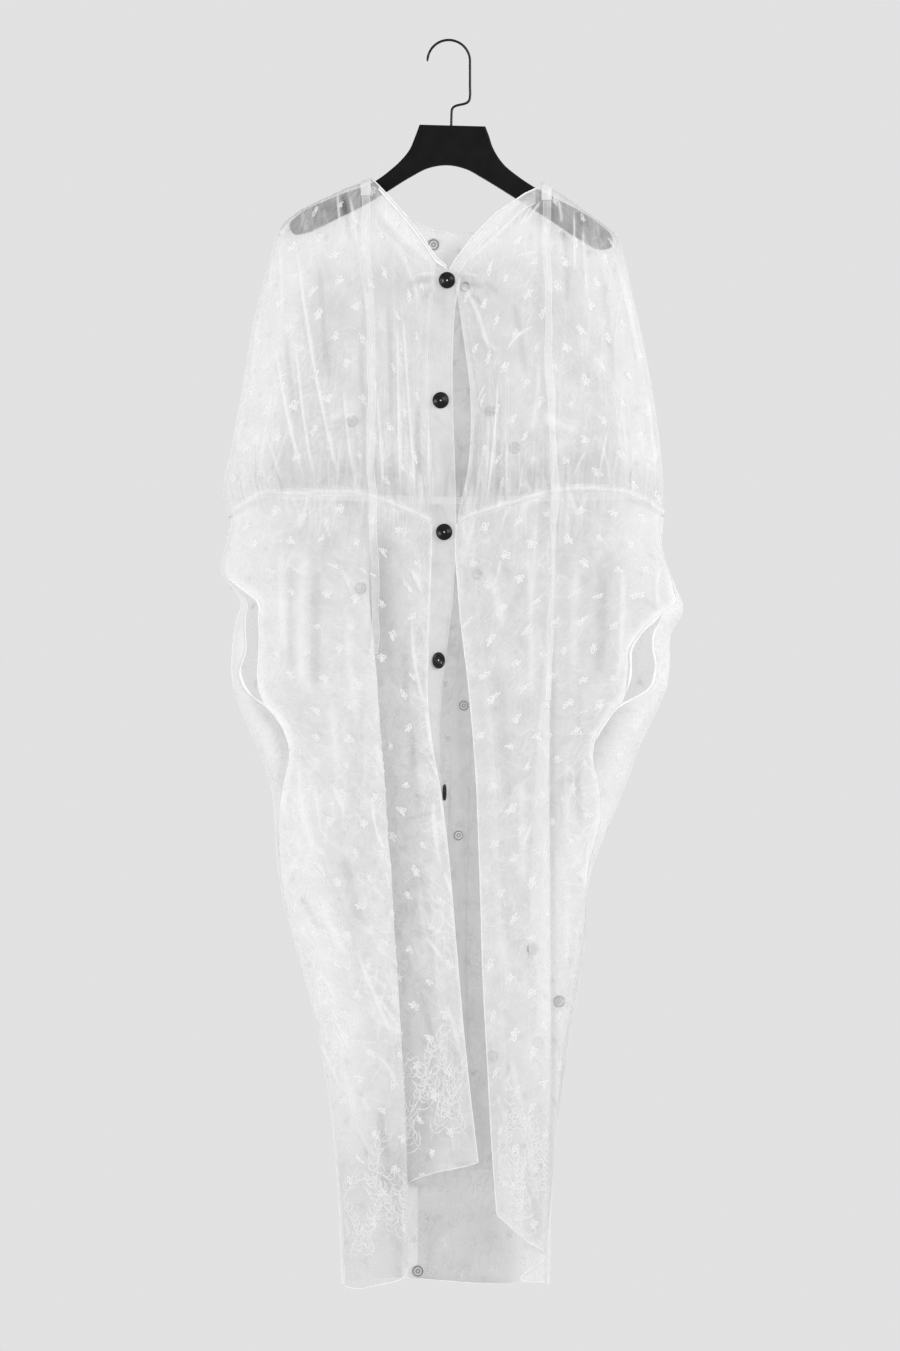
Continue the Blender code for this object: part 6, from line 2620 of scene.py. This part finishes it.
    def sprays(self, dresser: Dresser, piece: ClothPiece, seed: int, places: Table) -> None:
        """Sprays above a hem: each stroke is a ribbon between two lines beside it.

        Args:
            dresser: Maker of the meshes.
            piece: The cloth.
            seed: Choice of the bends.
            places: Share of the hem's length, height above the hem, size.
        """
        panel, random = piece.panel, np.random.default_rng(seed)
        width = float(panel.across[-1, -1])
        edges = ([], [])
        for share, height, size in places:
            strokes = self.spray_strokes(random) * size
            way = np.gradient(strokes, axis=1)
            way /= np.maximum(np.linalg.norm(way, axis=-1, keepdims=True), 1e-6)
            normal = np.stack([-way[..., 1], way[..., 0]], axis=-1)
            for edge, offset in zip(edges, (-self.spray_line / 2, self.spray_line / 2)):
                flat = strokes + normal * offset
                across = np.clip(share * width + flat[..., 0], 4, width - 4)
                edge.append(np.stack([across, height + flat[..., 1]], axis=-1))
        sides = []
        for edge in edges:
            flat = np.concatenate(edge)
            row, column_at = panel.locate(flat[..., 0], flat[..., 1], from_hem=True)
            sides.append(panel.sample(row, column_at, self.lift + 0.15))
        strokes, count = sides[0].shape[:2]
        points = np.concatenate([side.reshape(-1, 3) for side in sides])
        index = np.arange(strokes * count).reshape(strokes, count)
        far = index + strokes * count
        corners = [index[:, :-1], index[:, 1:], far[:, 1:], far[:, :-1]]
        name, faces = f"sprays_{piece.name}", np.stack(corners, axis=-1).reshape(-1, 4)
        mesh = dresser.mesh(name, points, [faces])
        piece.attached.append(dresser.piece(name, mesh, SPRAY_THREAD, "band_cloth"))


@dataclass
class Hanger:
    """Flat hanger body and its wire hook."""

    thickness: float = 10.0
    edge_round: float = 2.6
    wire: float = 1.5
    hook_radius: float = 25.5
    stem_x: float = 3.0
    wire_tip: tuple[float, float, float] = (0.55, 0.85, 0.97)

    def outline(self) -> Array:
        """Closed line round the body: the straight top, then a cubic through the rest.

        Returns:
            x and drop.
        """
        share = np.linspace(0, 1, 26)[1:-1, None]
        top = (1 - share) * np.array(HANGER_TOP[0]) + share * np.array(HANGER_TOP[1])
        return np.concatenate([top, smooth_line(np.array(HANGER_REST, float), 260)])

    def body(self, dresser: Dresser) -> None:
        """Body: the outline inset by R (1 - sin a) at depth T/2 - R (1 - cos a), front and back.

        Args:
            dresser: Maker of the pieces.
        """
        line = self.outline()
        way = np.roll(line, -1, axis=0) - np.roll(line, 1, axis=0)
        way /= np.linalg.norm(way, axis=1, keepdims=True)
        area = np.sum(line[:, 0] * np.roll(line[:, 1], -1) - np.roll(line[:, 0], -1) * line[:, 1])
        inwards = np.stack([-way[:, 1], way[:, 0]], axis=-1) * np.sign(area)
        angle = np.linspace(0, math.pi / 2, 6)
        inset = self.edge_round * (1 - np.sin(angle))
        depth = self.thickness / 2 - self.edge_round * (1 - np.cos(angle))
        inset = np.concatenate([inset, inset[::-1]])
        y = np.concatenate([-depth, depth[::-1]])[:, None]
        flat = line[None] + inwards[None] * inset[:, None, None]
        points = np.stack([flat[..., 0], y + 0 * flat[..., 0], -flat[..., 1]], axis=-1)
        index, _, walls = ring_faces(*points.shape[:2])
        caps = np.stack([index[0], index[-1][::-1]])
        if area < 0:
            walls, caps = walls[:, ::-1], caps[:, ::-1]
        mesh = dresser.mesh("hanger_shaped", points.reshape(-1, 3), [walls, caps])
        for number in (len(walls), len(walls) + 1):
            mesh.polygons[number].use_smooth = False
        dresser.piece("hanger_shaped", mesh, HANGER_COAT, "hanger_black", ("hanger_body",))

    def hook(self, dresser: Dresser) -> None:
        """Hook: half a ring, a straight drop, a small crank and the stem, on one smooth line.

        Args:
            dresser: Maker of the pieces.
        """
        angle = np.linspace(math.pi, 0, 40)
        ring_x = self.hook_radius * np.cos(angle)
        ring_z = self.hook_radius * np.sin(angle) - self.hook_radius + self.wire
        side = self.hook_radius
        foot = SEAM_GAP - float(straight(HANGER_TOP, 1)(self.stem_x))
        crank = smooth_line(np.array((
            (side, -40), (side, -54), (side, -66), (side - 0.6, -70), (side - 2.8, -73.2),
            (side - 6.5, -75), (side - 12, -76.2), (8.5, -77.6), (5.4, -79.4), (3.9, -82),
            (3.4, -86),
            (3.2, -92), (self.stem_x, foot),
        )), 130)
        x = np.concatenate([ring_x, crank[:, 0]])
        path = np.stack([x, 0 * x, np.concatenate([ring_z, crank[:, 1]])], axis=-1)
        radius = np.full(len(path), self.wire)
        radius[: len(self.wire_tip)] *= self.wire_tip
        mesh = dresser.tube("hanger_wire", path, radius, 16)
        dresser.piece("hanger_wire", mesh, WIRE, "wire_black", ("hanger_hook",))


@dataclass
class Studio:
    """Camera, soft lights, background light and a pale floor."""

    centre: tuple[float, float, float] = (0.0016, 0.0, -0.761)
    distance: float = 3.5
    frame_height: float = 1.621
    sensor: float = 36.0
    far: float = 50.0
    floor_z: float = -1.9
    floor_radius: float = 1.3
    floor_corners: int = 96

    def placed(self, name: str, data: bpy.types.ID) -> bpy.types.Object:
        """Object of some data, in the scene.

        Args:
            name: Its name.
            data: Its camera, light or mesh.

        Returns:
            The object.
        """
        made = bpy.data.objects.new(name, data)
        bpy.context.scene.collection.objects.link(made)
        return made

    def camera(self) -> None:
        """Camera that faces the dress, with the photograph's frame at the hanger's plane."""
        data = bpy.data.cameras.new("camera")
        data.sensor_width = self.sensor
        data.lens = self.sensor * self.distance / self.frame_height
        data.clip_end = self.far
        made = self.placed("camera", data)
        made.location = (self.centre[0], -self.distance, self.centre[2])
        made.rotation_euler = (math.pi / 2, 0, 0)
        bpy.context.scene.camera = made

    def light(
        self, name: str, place: tuple[float, float, float], size: float, power: float
    ) -> None:
        """Square area light aimed at the middle of the dress.

        Args:
            name: Its name.
            place: Where it stands, in metres.
            size: Its side.
            power: Its power in watts.
        """
        data = bpy.data.lights.new(name, "AREA")
        data.size, data.energy = size, power
        made = self.placed(name, data)
        made.location = place
        way = Vector(self.centre) - Vector(place)
        made.rotation_euler = way.to_track_quat("-Z", "Y").to_euler()

    def background(self) -> None:
        """World: one pale grey where the camera looks past the dress, a softer one as light."""
        world = bpy.data.worlds.new("studio")
        bpy.context.scene.world = world
        nodes = Nodes(world)
        seen = nodes.node("ShaderNodeBackground", {}, {0: grey(WALL_GREY, WALL_GREY * 0.005)})
        lit = nodes.node("ShaderNodeBackground", {}, {0: grey(AMBIENT)})
        path = nodes.node("ShaderNodeLightPath", {}, {}).outputs["Is Camera Ray"]
        inputs = {0: path, 1: lit.outputs[0], 2: seen.outputs[0]}
        mix = nodes.node("ShaderNodeMixShader", {}, inputs)
        nodes.node("ShaderNodeOutputWorld", {}, {0: mix.outputs[0]})

    def floor(self) -> None:
        """Round pale floor below the dress."""
        turns = np.linspace(0, 2 * math.pi, self.floor_corners, endpoint=False)
        x, y = self.floor_radius * np.cos(turns), self.floor_radius * np.sin(turns)
        points = np.stack([x, y, np.full(self.floor_corners, self.floor_z)], axis=-1)
        mesh = bpy.data.meshes.new("floor")
        mesh.from_pydata(points.tolist(), [], [list(range(self.floor_corners))])
        graph = Graph("pale_floor")
        cloud = graph.noise(graph.object_place(), 3.0, 3.0)
        graph.tint(grey(0.68), grey(0.74), cloud)
        graph.dress(Roughness=0.9)
        mesh.materials.append(graph.material)
        self.placed("floor", mesh)

    def build(self) -> None:
        """Make the studio."""
        self.camera()
        self.background()
        self.floor()
        for name, place, size, power in LIGHTS:
            self.light(name, place, size, power)
        bpy.context.scene.view_settings.view_transform = "Standard"


def declare(piece: ClothPiece) -> None:
    """Say what a piece of cloth was cut to, and its area.

    Args:
        piece: The piece.
    """
    round(piece.panel.area(), 4)
    LOG.info("%s: cut %.3f x %.3f m, %.3f m2", piece.made.name, *piece.flat, piece.panel.area())


@dataclass
class DressCloth:
    """The cloth of the dress: its cut pieces, with their edges and embroidery."""

    edges: RolledEdges = field(default_factory=RolledEdges)
    embroidery: Embroidery = field(default_factory=Embroidery)
    back_neck: tuple[float, float] = (-90.0, 114.0)
    neck_set: float = 1.3

    def __post_init__(self) -> None:
        """Cut the six pieces."""
        self.fronts = {side: BodiceFront(side) for side in Side}
        self.bodice = {side: front.build() for side, front in self.fronts.items()}
        self.skirt = {side: SkirtFront(side).build() for side in Side}
        self.back, self.skirt_back = BodiceBack().build(), SkirtBack().build()

    def make(self, dresser: Dresser) -> None:
        """Make the six pieces of voile.

        Args:
            dresser: Maker of the pieces.
        """
        for piece in (*self.bodice.values(), self.back, *self.skirt.values(), self.skirt_back):
            finish = BACK_VOILE if "back" in piece.name else VOILE
            piece.made = dresser.cloth(
                f"{piece.name}_voile", piece.panel, finish, "sheer_cloth", (piece.name,),
                piece.marks,
            )

    def join(self, dresser: Dresser) -> None:
        """Make the neck edges and the waist seams.

        Args:
            dresser: Maker of the pieces.
        """
        NeckEdges(self.bodice[Side.LEFT], self.bodice[Side.RIGHT], self.back).build(dresser)
        for side in Side:
            name, solid = f"waist_seam_{side.value}", f"waist_band_front_{side.value}"
            WaistSeam(self.bodice[side], self.skirt[side], name, solid, -1.0).build(dresser)
        seam = WaistSeam(self.back, self.skirt_back, "waist_seam_back", "waist_band_back", 1.0)
        seam.build(dresser)

    def roll(
        self,
        dresser: Dresser,
        piece: ClothPiece,
        name: str,
        path: Array,
        seed: int,
        swell: float = 1.0,
    ) -> None:
        """Roll an edge of a piece.

        Args:
            dresser: Maker of the pieces.
            piece: The cloth.
            name: The roll's name.
            path: The line along the edge.
            seed: Choice of its unevenness.
            swell: Factor of its radius.
        """
        piece.attached.append(self.edges.build(dresser, name, path, swell, seed))

    def roll_edges(self, dresser: Dresser) -> None:
        """Roll the shoulder seams, the neck edges, the hems and the skirt's centre edges.

        Args:
            dresser: Maker of the pieces.
        """
        tips = {Side.LEFT: NeckEdges.tip_left, Side.RIGHT: NeckEdges.tip_right}
        for side in Side:
            top, low, name = self.bodice[side], self.skirt[side], side.value
            neck = self.fronts[side].shoulder_columns - 1
            line = top.panel.points[0, neck:] - (0, self.neck_set, 0)
            tip = np.linspace(0, 1, 9)[1:, None] * np.array(tips[side])
            line = np.concatenate([line, line[-1] + tip])
            self.roll(dresser, top, f"shoulder_seam_{name}", top.panel.points[0, : neck + 1], 181)
            self.roll(dresser, top, f"neck_edge_{name}", line, 191, 1.9)
            self.roll(dresser, low, f"hem_edge_{name}", low.panel.points[-1], 197)
            self.roll(dresser, low, f"skirt_inner_edge_{name}", low.panel.points[:, -1], 211)
        top = self.back.panel.points[0]
        neck = (top[:, 0] > self.back_neck[0]) & (top[:, 0] < self.back_neck[1])
        self.roll(dresser, self.back, "neck_edge_back", top[neck], 223, 1.7)
        self.roll(dresser, self.skirt_back, "hem_edge_back", self.skirt_back.panel.points[-1], 227)

    def embroider(self, dresser: Dresser) -> None:
        """Put the sprigs on all pieces, on both sides of the back, and the sprays on the fronts.

        Args:
            dresser: Maker of the pieces.
        """
        fronts = (*self.bodice.values(), *self.skirt.values())
        for seed, piece in enumerate(fronts, start=11):
            self.embroidery.sprigs(dresser, piece, seed, 1.0)
        for facing in (1.0, -1.0):
            self.embroidery.sprigs(dresser, self.back, 15, 0.5, facing)
            self.embroidery.sprigs(dresser, self.skirt_back, 16, 0.5, facing)
        self.embroidery.sprays(dresser, self.skirt[Side.LEFT], 17, LEFT_SPRAYS)
        self.embroidery.sprays(dresser, self.skirt[Side.RIGHT], 18, RIGHT_SPRAYS)

    def build(self, dresser: Dresser) -> None:
        """Make the cloth of the dress.

        Args:
            dresser: Maker of the pieces.
        """
        self.make(dresser)
        self.join(dresser)
        self.roll_edges(dresser)
        self.embroider(dresser)
        for side in Side:
            declare(self.bodice[side])
            declare(self.skirt[side])
        declare(self.back)
        declare(self.skirt_back)


def main() -> None:
    """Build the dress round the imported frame, sub-assembly by sub-assembly."""
    logging.basicConfig(level=logging.INFO, format="%(name)s: %(message)s")
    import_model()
    Studio().build()
    dresser = Dresser()
    hanger = Hanger()
    hanger.body(dresser)
    hanger.hook(dresser)
    DressCloth().build(dresser)
    plackets = Plackets()
    layers = plackets.build(dresser)
    Fastenings(plackets).build(dresser)
    ArmOpenings().build(dresser)
    Ties().build(dresser)
    bpy.context.view_layer.update()


if __name__ == "__main__":
    main()
